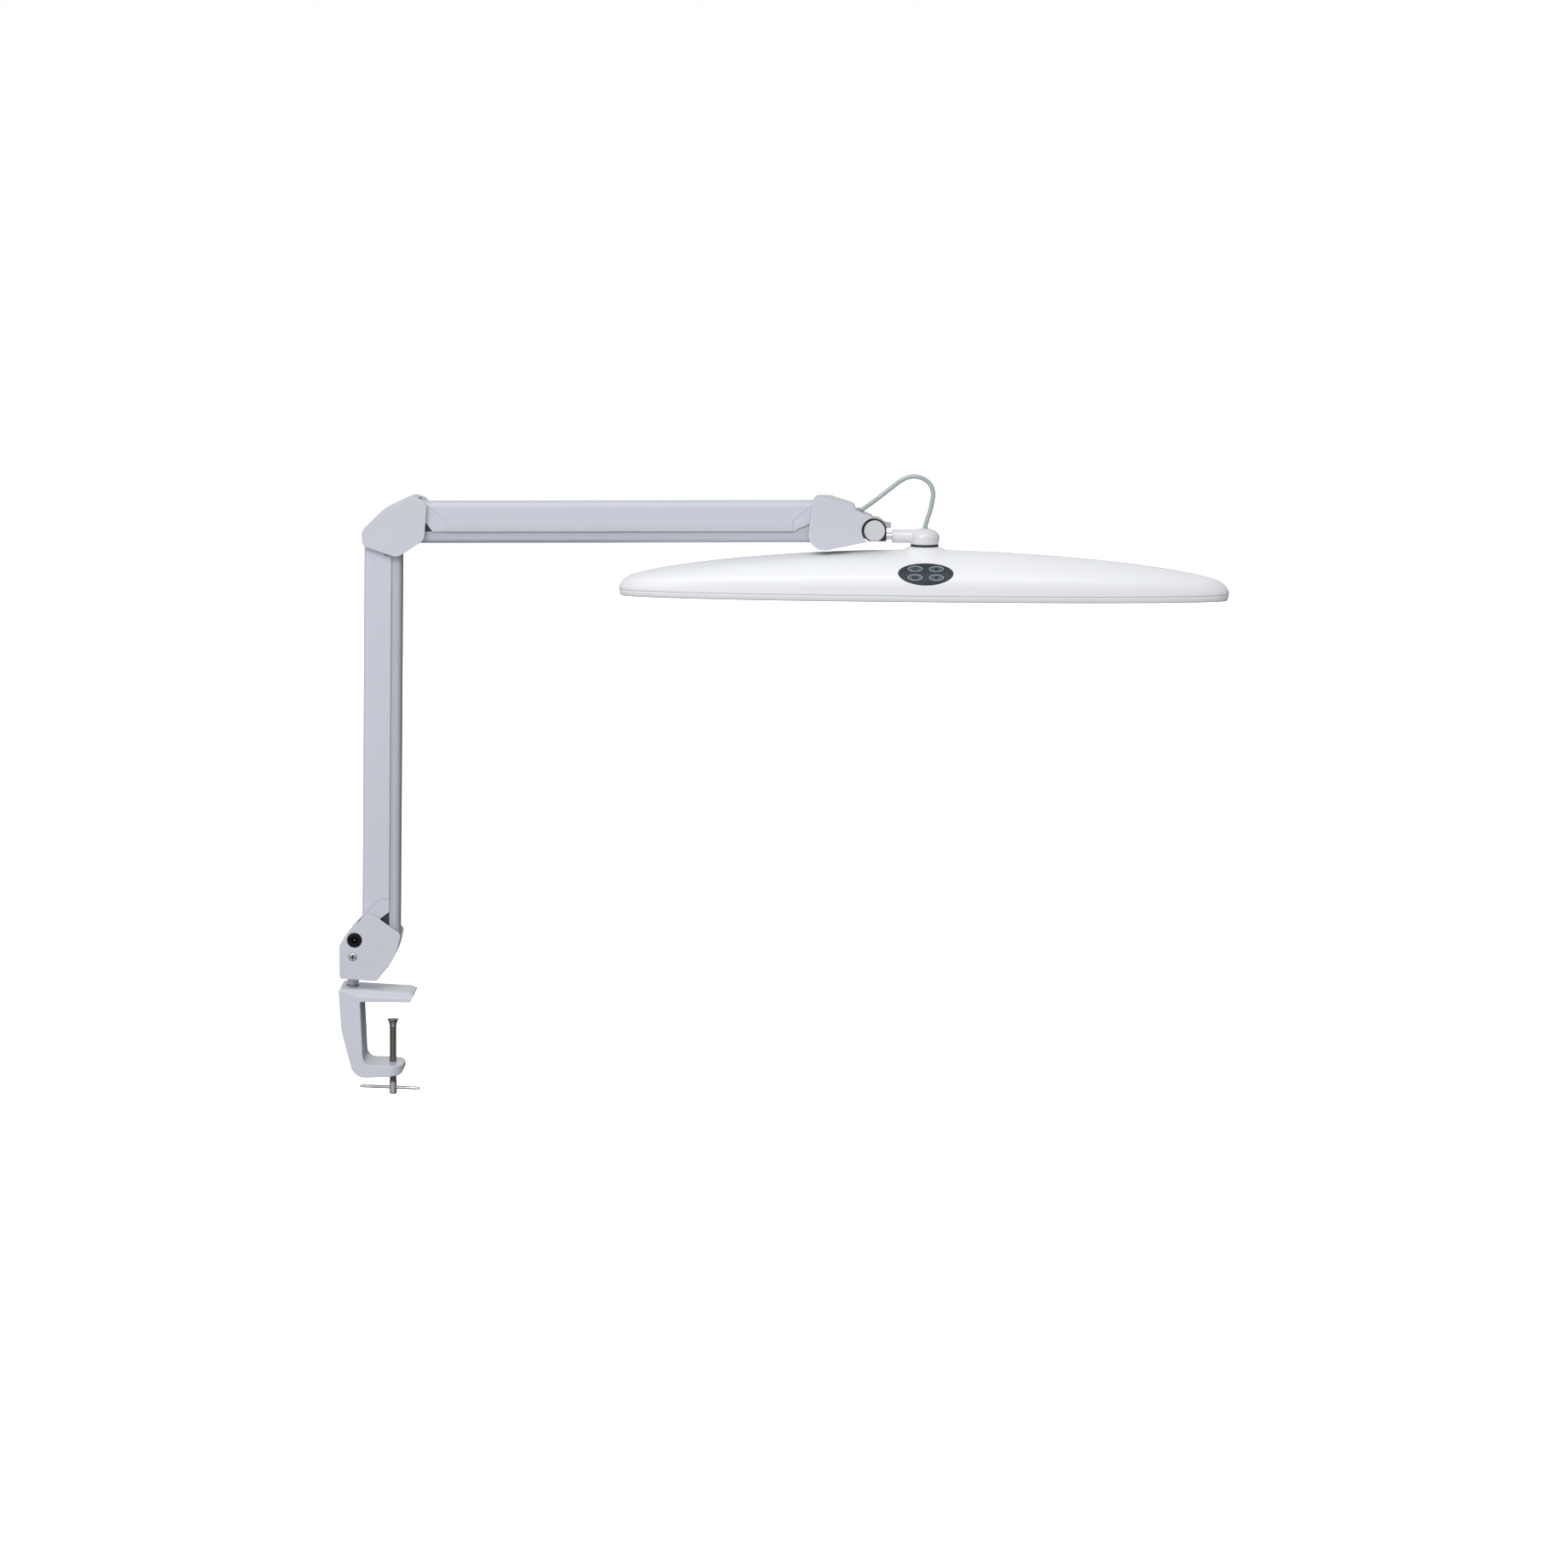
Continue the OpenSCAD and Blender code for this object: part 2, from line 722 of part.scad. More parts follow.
module swivel_housing() {
    color(white) difference() {
        union() {
            translate([sleeve_x0, 0, rod_z]) rotate([0, 90, 0])
                cylinder(r = sleeve_r, h = swivel_x - sleeve_x0);
            translate([swivel_x, 0, 0]) rotate_extrude() polygon(concat(
                [[0, dome_bottom], [13, dome_bottom]],
                [for (a = [0:15:90])
                    [dome_r * cos(a), rod_z - 0.8 + 8.7 * sin(a)]]));
        }
        translate([sleeve_x0 - 1, 0, rod_z]) rotate([0, 90, 0])
            cylinder(r = 3.4 + fit, h = 15.5);
        translate([swivel_x, 0, dome_bottom - 1])
            cylinder(r = 5, h = 6);
        translate([swivel_x, 0, dome_bottom])
            cylinder(r = lead_d / 2 + 0.15, h = 30);
        translate([swivel_x, 0, rod_z + mouth_z])
            cylinder(r1 = lead_d / 2, r2 = lead_d / 2 + 1.3, h = 5.2);
    }
}

module swivel_post() {
    color("Silver") translate([swivel_x, 0, dome_bottom + 5]) mirror([0, 0, 1])
        difference() {
            cylinder(r = 5, h = 17);
            translate([0, 0, -1]) cylinder(r = lead_d / 2 + 0.4, h = 20);
        }
}

module swivel_washer() {
    color("DimGray") translate([swivel_x, 0, neck_top + 0.05]) difference() {
        cylinder(r = 13.1, h = 2);
        translate([0, 0, -1]) cylinder(r = 5, h = 5);
    }
}

module swivel_nut() {
    color("Silver") translate([swivel_x, 0, crest_z - wall - 4.2]) difference() {
        cylinder(r = 8, h = 4, $fn = 6);
        translate([0, 0, -1]) cylinder(r = 5, h = 6);
    }
}

// ===== head ====================================================================
// Round-over of the ends' lower edge: height over the split where it starts,
// how fast it draws in, and how softly it meets the crown
edge_start = 2.2;
edge_gain = 0.26;
edge_blend = 1.5;

// How far the ends are drawn in at height w over the split: the larger of
// the crown's fall and of the round-over, blended
function end_in(w) =
    let (h = max(0, w - skirt) / dome_h,
        a = half_l * (1 - pow(1 - pow(h, crown_n), 1 / crown_n)),
        b = edge_gain * pow(max(0, w - edge_start), 1.5))
    (a + b + sqrt((a - b) * (a - b) + edge_blend * edge_blend) - edge_blend) / 2;

// Point of the housing's surface at height w over the split and at angle a,
// set in by t
function crown(w, a, t) =
    let (h = max(0, w - skirt) / dome_h)
    [head_x + (half_l - t) * (1 - end_in(w) / half_l)
        * sign(cos(a)) * pow(abs(cos(a)), 2 / plan_n),
    (half_w - t) * sqrt(1 - h * h) * sign(sin(a)) * pow(abs(sin(a)), 2 / plan_n),
    split_z + w - t * h];

crown_rings = 10;
crown_sides = 64;
crown_levels = concat([0, 3], [for (i = [0:crown_rings - 1])
    skirt + dome_h * sin(90 * i / crown_rings)]);

// Closed solid of the housing's outer form, set in by t, down to z0
module crown_solid(t, z0) {
    n = crown_sides;
    m = len(crown_levels);
    rings = [for (i = [0:m - 1], k = [0:n - 1])
        let (p = crown(crown_levels[i], 360 * k / n, t))
        [p[0], p[1], i == 0 ? z0 : p[2]]];
    pts = concat(rings, [[head_x, 0, shoulder_z + dome_h - t]]);
    polyhedron(points = pts, faces = concat(
        [[for (k = [0:n - 1]) k]],
        [for (i = [0:m - 2], k = [0:n - 1])
            let (a = i * n + k, b = i * n + (k + 1) % n)
            each [[a, b + n, b], [a, a + n, b + n]]],
        [for (k = [0:n - 1])
            [(m - 1) * n + k, m * n, (m - 1) * n + (k + 1) % n]]));
}

// Plan outline of the head, set in by t
module plan(t, n = 64)
    polygon([for (k = [0:n - 1]) let (p = crown(0, 360 * k / n, t)) [p[0], p[1]]]);

// Frame of the keypad: +Z out of the panel, +X along it, +Y up it
module on_panel()
    translate(panel_c) rotate([90 - key_tilt, 0, 0]) children();

module oval(l, h, n = 40)
    polygon([for (k = [0:n - 1]) [l / 2 * cos(360 * k / n), h / 2 * sin(360 * k / n)]]);

// Key face, grown by g all round
module key_shape(g = 0)
    oval(key_l + 2 * g, key_h + 2 * g);

module at_key(i, j)
    translate([i * key_pitch_x / 2, j * key_pitch_z / 2, 0]) children();

board_l = 516;
board_w = 56;
board_z = split_z + 1;
led_pitch = 12.6;
led_row = 13;
boss_x = 150;
boss_y = 21;
screw_shank = 1.7;

// Repeats its children at the four screws of the LED board
module at_bosses()
    for (x = [-boss_x, boss_x], y = [-boss_y, boss_y])
        translate([head_x + x, y, board_z]) children();

module canopy() {
    color(white) difference() {
        union() {
            difference() {
                crown_solid(0, split_z);
                crown_solid(wall, split_z - 1);
            }
            intersection() {
                crown_solid(1, split_z);
                at_bosses() translate([0, 0, 1.6]) cylinder(r = 4, h = 40);
            }
            translate([head_x, 0, 0]) rotate_extrude() polygon([[0, neck_top],
                [14, neck_top], [16, neck_top - 0.6], [20, neck_top - 2.8],
                [23, neck_top - 3.7], [22, crest_z - 1.8], [0, crest_z - 1.8]]);
        }
        at_bosses() cylinder(r = screw_shank, h = 10);
        translate([head_x, 0, neck_top - 10]) cylinder(r = 5 + fit, h = 20);
        translate([head_x, 0, crest_z - wall - 8]) cylinder(r = 8.8, h = 7.9);
        on_panel() translate([0, 0, -14]) linear_extrude(30) oval(panel_l, panel_h);
    }
}

module canopy_rim() {
    color(white) difference() {
        translate([0, 0, head_bottom]) linear_extrude(split_z - head_bottom)
            plan(0);
        translate([0, 0, head_bottom - 1]) linear_extrude(2.2) plan(4.2);
        translate([0, 0, head_bottom + 1]) linear_extrude(30) plan(2.2);
    }
}

module diffuser() {
    color("Snow") translate([0, 0, head_bottom + 1.2]) linear_extrude(2) plan(2.4);
}

module led_board() {
    color("WhiteSmoke") translate([head_x, 0, board_z + 0.8]) difference() {
        intersection() {
            cube([board_l, board_w, 1.6], center = true);
            translate([-head_x, 0, -5]) linear_extrude(10) plan(6);
        }
        for (x = [-boss_x, boss_x], y = [-boss_y, boss_y])
            translate([x, y, -5]) cylinder(r = screw_shank + 0.1, h = 10);
    }
}

module leds() {
    color("Khaki") for (i = [0:led_count - 1], j = [-1:1])
        translate([head_x + (i - (led_count - 1) / 2) * led_pitch,
            j * led_row, board_z - 0.5])
            cube([3.5, 2.8, 1], center = true);
}

module driver_board() {
    color("SeaGreen") translate([head_x + 44, 0, board_z + 9]) union() {
        cube([90, 30, 1.6], center = true);
        translate([-25, 4, 4.3]) cylinder(r = 5, h = 7, center = true);
        translate([10, -6, 3.3]) cube([12, 12, 5], center = true);
        translate([30, 5, 2.8]) cube([10, 8, 4], center = true);
        for (x = [-38, 38])
            translate([x, -11, -7.4]) cylinder(r = 2, h = 7);
    }
}

module canopy_lead() {
    z0 = dome_bottom - 13;
    color("Silver") tube([[swivel_x, 0, z0], [swivel_x, 0, z0 - 6],
        [swivel_x - 1, 1, z0 - 11], [swivel_x - 4, 4, z0 - 15],
        [swivel_x - 5, 8, z0 - 16.5]], lead_d / 2);
}

module keypad_panel() {
    color("DarkSlateGray") on_panel() difference() {
        union() {
            translate([0, 0, -1.6]) linear_extrude(1.9)
                oval(panel_l - 0.1, panel_h - 0.1);
            translate([0, 0, -5.4]) linear_extrude(4) difference() {
                oval(panel_l - 0.1, panel_h - 0.1);
                oval(panel_l - 2.5, panel_h - 2.5);
            }
        }
        for (i = [-1, 1], j = [-1, 1])
            at_key(i, j) translate([0, 0, -5]) linear_extrude(10) key_shape(0.35);
    }
}

module keypad_board() {
    color("SeaGreen") on_panel() {
        translate([0, 0, -6.6]) linear_extrude(1.2)
            oval(panel_l - 0.6, panel_h - 0.6);
        for (i = [-1, 1], j = [-1, 1])
            at_key(i, j) translate([0, 0, -4.75]) cube([5, 4, 1.3], center = true);
    }
}

module key_cap(i, j)
    on_panel() at_key(i, j) union() {
        translate([0, 0, -2.2]) linear_extrude(3) key_shape();
        translate([0, 0, -3.4]) cylinder(r = 1.2, h = 1.5);
    }

module key_power() {
    color("SlateGray") key_cap(-1, 1);
}

module key_up() {
    color("SlateGray") key_cap(1, 1);
}

module key_mode() {
    color("SlateGray") key_cap(-1, -1);
}

module key_down() {
    color("SlateGray") key_cap(1, -1);
}

module canopy_screws() {
    color("Silver") at_bosses() translate([0, 0, -1.6]) union() {
        cylinder(r = 3, h = 1.6);
        cylinder(r = screw_shank, h = 9);
    }
}

clamp_body();
spigot_bush();
pressure_pad();
clamp_screw();
tommy_bar();
base_bracket();
base_cover_front();
base_cover_back();
base_cover_screws();
dc_socket();
dc_pin();
base_pivot_pins();
base_lead();
lower_outer_channel();
lower_spring();
lower_spring_anchor();
lower_lead();
lower_inner_channel();
lower_link_anchor();
elbow_bracket();
elbow_cover_front();
elbow_cover_back();
elbow_pivot_pins();
elbow_lead();
upper_outer_channel();
upper_spring();
upper_spring_anchor();
upper_lead();
upper_inner_channel();
upper_link_anchor();
head_bracket();
head_cover_front();
head_cover_back();
head_pivot_pins();
cable_grommet();
head_cable();
tilt_bolt();
lock_lever();
tilt_block();
tilt_cap();
head_rod();
swivel_housing();
swivel_post();
swivel_washer();
swivel_nut();
canopy();
canopy_rim();
diffuser();
led_board();
leds();
driver_board();
canopy_lead();
keypad_panel();
keypad_board();
canopy_screws();
key_power();
key_up();
key_mode();
key_down();
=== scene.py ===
"""Swing arm desk lamp: the looks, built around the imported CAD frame.

Lengths are in millimetres until piece() scales them to metres.
"""
import math
from math import cos, pi, radians, sin

import bmesh
import bpy
import numpy as np
from mathutils import Matrix, Vector


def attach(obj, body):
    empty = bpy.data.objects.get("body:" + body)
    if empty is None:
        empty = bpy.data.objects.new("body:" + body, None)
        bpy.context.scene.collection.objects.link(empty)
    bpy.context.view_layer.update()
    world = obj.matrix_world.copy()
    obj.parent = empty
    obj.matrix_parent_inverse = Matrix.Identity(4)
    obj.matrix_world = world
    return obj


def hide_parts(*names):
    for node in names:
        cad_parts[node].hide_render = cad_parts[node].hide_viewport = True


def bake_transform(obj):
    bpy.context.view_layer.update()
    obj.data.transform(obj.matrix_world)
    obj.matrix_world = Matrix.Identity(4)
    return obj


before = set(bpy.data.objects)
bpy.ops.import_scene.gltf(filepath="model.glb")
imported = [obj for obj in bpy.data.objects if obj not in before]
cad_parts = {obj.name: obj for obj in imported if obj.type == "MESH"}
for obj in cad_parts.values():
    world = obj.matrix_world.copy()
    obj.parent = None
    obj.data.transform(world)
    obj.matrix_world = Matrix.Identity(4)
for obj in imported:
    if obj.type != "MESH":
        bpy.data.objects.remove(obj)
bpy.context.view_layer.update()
scene = bpy.context.scene
MM = 0.001
# light of the room: everywhere, from above, from the front, from the left and from the wall behind
ROOM_BASE, ROOM_TOP, ROOM_FRONT, ROOM_LEFT, ROOM_BACK = 0.05, 0.52, 0.56, 0.26, 0.55

# ---- camera ----
PITCH, YAW, ROLL = radians(8), radians(0.457), radians(0.5)
CAMERA_AT, LENS, SENSOR = (0.4091, -4.5155, 0.8420), 111.6, 36
forward = Vector((-sin(YAW) * cos(PITCH), cos(YAW) * cos(PITCH), -sin(PITCH)))
right = Vector((cos(YAW), sin(YAW), 0))
up = right.cross(forward)
right, up = right * cos(ROLL) + up * sin(ROLL), up * cos(ROLL) - right * sin(ROLL)
cam_data = bpy.data.cameras.new("camera")
cam_data.sensor_width, cam_data.lens, cam_data.clip_end = SENSOR, LENS, 60
camera = bpy.data.objects.new("camera", cam_data)
scene.collection.objects.link(camera)
camera.matrix_world = Matrix.Translation(CAMERA_AT) @ Matrix((right, up, -forward)).transposed().to_4x4()
scene.camera = camera

# ---- the CAD's own dimensions ----
LOWER_LEN, UPPER_LEN = 367.0, 378.0
LEAN, RISE = radians(0.5), radians(0.6)
BASE_PIN = np.array([-14.0, 71.0])
LINK_LOW = np.array([18.4, -8.0])
LINK_UP = np.array([-4.6, -20.2])
ELBOW_PIN = BASE_PIN + LOWER_LEN * np.array([sin(LEAN), cos(LEAN)])
SHOULDER_PIN = ELBOW_PIN + [40, 22]
HEAD_PIN = SHOULDER_PIN + UPPER_LEN * np.array([cos(RISE), sin(RISE)])
TILT_PIN = HEAD_PIN + [48, -16.2]
ROD_Z = TILT_PIN[1] - 6.1
HEAD_X = TILT_PIN[0] + 46.8
COVER_OUT, COVER_IN, PLATE_IN, OUTER_HALF, INNER_HALF = 20.5, 18.5, 16.2, 15.7, 13.7
SHEET = 1.5
WEB_OFF, UPPER_WEB, OUTER_REACH, INNER_REACH = 8.2, 10.0, 17.2, 10.0
NECK_TOP = ROD_Z - 9.4
CREST_Z = NECK_TOP - 3.1
DOME_H = 32.2
SHOULDER_Z = CREST_Z - DOME_H
SKIRT = 7.2
SPLIT_Z = SHOULDER_Z - SKIRT
RIM_H = 5.9
HEAD_BOTTOM = SPLIT_Z - RIM_H
HALF_L, HALF_W, PLAN_N, CROWN_N = 284.5, 44.0, 2.2, 1.7
LEAD_R = 2.25


# ---- mesh helpers ----
def link(name, data):
    o = bpy.data.objects.new(name, data)
    scene.collection.objects.link(o)
    return o


def mesh(verts, faces, name="part"):
    me = bpy.data.meshes.new(name)
    me.from_pydata([tuple(map(float, v)) for v in verts], [], [tuple(map(int, f)) for f in faces])
    me.validate()
    return tidy(me)


def tidy(me, merge=1e-4):
    bm = bmesh.new()
    bm.from_mesh(me)
    bmesh.ops.remove_doubles(bm, verts=bm.verts, dist=merge)
    bmesh.ops.dissolve_degenerate(bm, edges=bm.edges, dist=1e-5)
    bmesh.ops.recalc_face_normals(bm, faces=bm.faces)
    bm.to_mesh(me)
    bm.free()
    return me


def evaluated(o):
    bpy.context.view_layer.update()
    me = bpy.data.meshes.new_from_object(o.evaluated_get(bpy.context.evaluated_depsgraph_get()))
    data = o.data
    bpy.data.objects.remove(o)
    if data.users == 0:
        (bpy.data.curves if isinstance(data, bpy.types.Curve) else bpy.data.meshes).remove(data)
    return me


def with_modifiers(me, *specs):
    """The mesh after these modifiers: (type, {settings})."""
    o = link("work", me)
    for kind, settings in specs:
        m = o.modifiers.new(kind, kind)
        for k, v in settings.items():
            setattr(m, k, v)
    return evaluated(o)


def boolean(me, *others, how="DIFFERENCE"):
    for other in others:
        tool = link("tool", other)
        me = with_modifiers(me, ("BOOLEAN", {"operation": how, "solver": "EXACT", "object": tool}))
        bpy.data.objects.remove(tool)
        me = tidy(me)
    return me


def union(me, *others):
    return boolean(me, *others, how="UNION")


def common(me, other):
    return boolean(me, other, how="INTERSECT")


def join(*parts):
    bm = bmesh.new()
    for me in parts:
        bm.from_mesh(me)
    out = bpy.data.meshes.new("joined")
    bm.to_mesh(out)
    bm.free()
    return out


def moved(me, matrix):
    me.transform(matrix)
    return me


def move(me, x=0, y=0, z=0):
    return moved(me, Matrix.Translation((x, y, z)))


def turn(me, axis, angle):
    return moved(me, Matrix.Rotation(radians(angle), 4, axis))


def mirrored(me):
    out = me.copy()
    out.transform(Matrix.Scale(-1, 4, (0, 1, 0)))
    out.flip_normals()
    return out


def circle(x, z, r, n=64, start=0.0, sweep=2 * pi, last=False):
    """Points in n steps round a centre; last adds the end of the sweep."""
    turns = [start + sweep * k / n for k in range(n + last)]
    return np.array([[x + r * cos(a), z + r * sin(a)] for a in turns])


def rounded(q, n=8):
    """Outline with round corners from [x, z, radius] rows."""
    out = []
    for i, (x, z, r) in enumerate(q):
        p0, p1, p2 = (np.array(q[(i + k - 1) % len(q)][:2], float) for k in range(3))
        if r <= 0:
            out.append(p1)
            continue
        u, v = (p0 - p1) / np.linalg.norm(p0 - p1), (p2 - p1) / np.linalg.norm(p2 - p1)
        half = math.acos(max(-1, min(1, float(u @ v)))) / 2
        c = p1 + (u + v) / np.linalg.norm(u + v) * r / sin(half)
        a, b = p1 + u * r / math.tan(half) - c, p1 + v * r / math.tan(half) - c
        a0, sweep = math.atan2(a[1], a[0]), math.atan2(a[0] * b[1] - a[1] * b[0], a @ b)
        out += list(circle(*c, r, n, a0, sweep, True))
    return np.array(out)


def prism(loops, y0, y1, bevel=0.5, seg=3):
    """Plate with rounded rims: the first loop is its outline in x and z, the others are holes."""
    cu = bpy.data.curves.new("prism", "CURVE")
    cu.dimensions, cu.fill_mode = "2D", "BOTH"
    cu.extrude = (y1 - y0) / 2 - bevel
    cu.bevel_depth, cu.bevel_resolution, cu.offset = bevel, seg, -bevel
    for k, loop in enumerate(loops):
        area = sum(a[0] * b[1] - b[0] * a[1] for a, b in zip(loop, np.roll(loop, -1, 0)))
        pts = loop if (area > 0) == (k == 0) else loop[::-1]
        sp = cu.splines.new("POLY")
        sp.points.add(len(pts) - 1)
        for p, q in zip(sp.points, pts):
            p.co = (q[0], q[1], 0, 1)
        sp.use_cyclic_u = True
    me = evaluated(link("prism", cu))
    me.transform(Matrix(((1, 0, 0, 0), (0, 0, -1, (y0 + y1) / 2), (0, 1, 0, 0), (0, 0, 0, 1))))
    return tidy(me, 1e-3)


def grid(rows, wrap_rows=False, cap_start=True, cap_end=True):
    """Tube of rings; a ring of one repeated point closes to a point."""
    rows = np.asarray(rows, float)
    m, n = rows.shape[:2]
    verts = rows.reshape(-1, 3)
    faces = []
    for i in range(m if wrap_rows else m - 1):
        a, b = i * n, (i + 1) % m * n
        for k in range(n):
            j = (k + 1) % n
            faces.append((a + k, a + j, b + j, b + k))
    if not wrap_rows:
        if cap_start:
            faces.append(tuple(range(n - 1, -1, -1)))
        if cap_end:
            faces.append(tuple((m - 1) * n + k for k in range(n)))
    return mesh(verts, faces)


def ring_rows(profile, n):
    """Level rings from [r, z] rows, where r is a number or one number for each point."""
    a = np.arange(n) * 2 * pi / n
    return [np.stack([r * np.cos(a), r * np.sin(a), np.full(n, z)], 1) for r, z in profile]


def lathe(profile, n=72, closed=False):
    """Turned about Z from [r, z] rows; closed joins the last row to the first, as in a ring."""
    return grid(ring_rows(profile, n), closed, profile[0][0] > 1e-6, profile[-1][0] > 1e-6)


def soft(profile, r=0.4, n=4, closed=False):
    """Profile with its corners rounded, where the neighbouring edges leave room."""
    pts = [np.array(p, float) for p in profile]
    out = []
    for i, p in enumerate(pts):
        if not closed and i in (0, len(pts) - 1):
            out.append(p)
            continue
        p0, p2 = pts[i - 1], pts[(i + 1) % len(pts)]
        u, v = p0 - p, p2 - p
        d = min(r, np.linalg.norm(u) * 0.45, np.linalg.norm(v) * 0.45)
        a, b = p + u / np.linalg.norm(u) * d, p + v / np.linalg.norm(v) * d
        for k in range(n + 1):
            s = k / n
            out.append((1 - s) ** 2 * a + 2 * s * (1 - s) * p + s * s * b)
    return out


def turned(profile, ease=0.4, n=72, steps=4, closed=False):
    """Lathe of a profile with its corners rounded."""
    return lathe(soft(profile, ease, steps, closed), n, closed)


def along_y(me, at, y=0):
    """Turns a lathe so that its +Z points to -Y, and puts it at [x, z]."""
    return moved(me, Matrix(((1, 0, 0, at[0]), (0, 0, -1, y), (0, 1, 0, at[1]), (0, 0, 0, 1))))


def along_x(me, x, z):
    """Turns a lathe so that its +Z points to +X, and puts it at x and z."""
    return move(turn(me, "Y", 90), x, 0, z)


def rod(r, z0, z1, chamfer=0.3, n=48):
    return turned([(0, z0), (r, z0), (r, z1), (0, z1)], chamfer, n)


def smooth_path(points, steps=4):
    """Catmull-Rom line through the points."""
    p = np.array(points, float)
    q = np.vstack([2 * p[0] - p[1], p, 2 * p[-1] - p[-2]])
    out = []
    for i in range(1, len(q) - 2):
        for k in range(steps):
            t = k / steps
            out.append(0.5 * (2 * q[i] + (q[i + 1] - q[i - 1]) * t
                       + (2 * q[i - 1] - 5 * q[i] + 4 * q[i + 1] - q[i + 2]) * t * t
                       + (3 * q[i] - q[i - 1] - 3 * q[i + 1] + q[i + 2]) * t ** 3))
    return np.array(out + [p[-1]])


def rings(path, r, n=20):
    """Rings square to a path, turning with it without twist; r is a number or one number for each point."""
    path = np.asarray(path, float)
    t = np.gradient(path, axis=0)
    t /= np.linalg.norm(t, axis=1)[:, None]
    radii = np.broadcast_to(np.asarray(r, float), (len(path),))
    u = np.cross(t[0], [0, 1, 0] if abs(t[0][1]) < 0.9 else [1, 0, 0])
    out = []
    for p, d, rad in zip(path, t, radii):
        u = u - d * (u @ d)
        u /= np.linalg.norm(u)
        v = np.cross(d, u)
        a = np.arange(n)[:, None] * 2 * pi / n
        out.append(p + rad * (np.cos(a) * u + np.sin(a) * v))
    return np.array(out)


def tube(path, r, n=16):
    return grid(rings(path, r, n))


def box(x0, x1, y0, y1, z0, z1):
    v = [(x, y, z) for x in (x0, x1) for y in (y0, y1) for z in (z0, z1)]
    return mesh(v, [(0, 1, 3, 2), (4, 6, 7, 5), (0, 4, 5, 1), (2, 3, 7, 6), (0, 2, 6, 4), (1, 5, 7, 3)])


def cut_prism(outline, y0, y1):
    """Plain straight-edged prism, for cutting."""
    n = len(outline)
    v = [(x, y0, z) for x, z in outline] + [(x, y1, z) for x, z in outline]
    sides = [(k, (k + 1) % n, n + (k + 1) % n, n + k) for k in range(n)]
    return mesh(v, [tuple(range(n - 1, -1, -1)), tuple(range(n, 2 * n)), *sides])


def eased(me, width, seg=3, angle=32):
    return with_modifiers(me, ("BEVEL", {"width": width, "segments": seg, "limit_method": "ANGLE",
                                         "angle_limit": radians(angle), "use_clamp_overlap": True,
                                         "harden_normals": False, "miter_outer": "MITER_ARC"}))


def remeshed(me, voxel, passes=5):
    return with_modifiers(me, ("REMESH", {"mode": "VOXEL", "voxel_size": voxel, "adaptivity": 0.0}),
                          ("SMOOTH", {"factor": 0.5, "iterations": passes}))


def piece(name, me, mat, body, node=None, angle=38, weighted=True):
    """Finished object on its body, in metres.

    It replaces the CAD node that its name starts with, if node isn't given. A piece without a body is
    attached to none.
    """
    mats = mat if isinstance(mat, list) else [mat]
    me.name = name
    me.transform(Matrix.Scale(MM, 4))
    me.materials.clear()
    for m in mats:
        me.materials.append(m)
    for p in me.polygons:
        p.use_smooth = True
    me.set_sharp_from_angle(angle=radians(angle))
    o = link(name, me)
    if weighted:
        w = o.modifiers.new("normals", "WEIGHTED_NORMAL")
        w.keep_sharp, w.weight = True, 60
    if body:
        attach(o, body)
    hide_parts(node or name.rsplit("_", 1)[0])
    return o


# ---- materials ----
def feed(tree, node, inputs):
    """Sets or links a node's inputs: {name or number: constant or socket}."""
    for key, value in inputs.items():
        if isinstance(value, bpy.types.NodeSocket):
            tree.links.new(value, node.inputs[key])
        else:
            node.inputs[key].default_value = value
    return node


def shader(tree, kind, inputs=None, **settings):
    node = tree.nodes.new("ShaderNode" + kind)
    for key, value in settings.items():
        setattr(node, key, value)
    return feed(tree, node, inputs or {})


def remap(tree, value, lo, hi, to_lo=0.0, to_hi=1.0):
    inputs = {"Value": value, "From Min": lo, "From Max": hi, "To Min": to_lo, "To Max": to_hi}
    return shader(tree, "MapRange", inputs).outputs["Result"]


def combine(tree, operation, a, b):
    return shader(tree, "Math", {0: a, 1: b}, operation=operation).outputs[0]


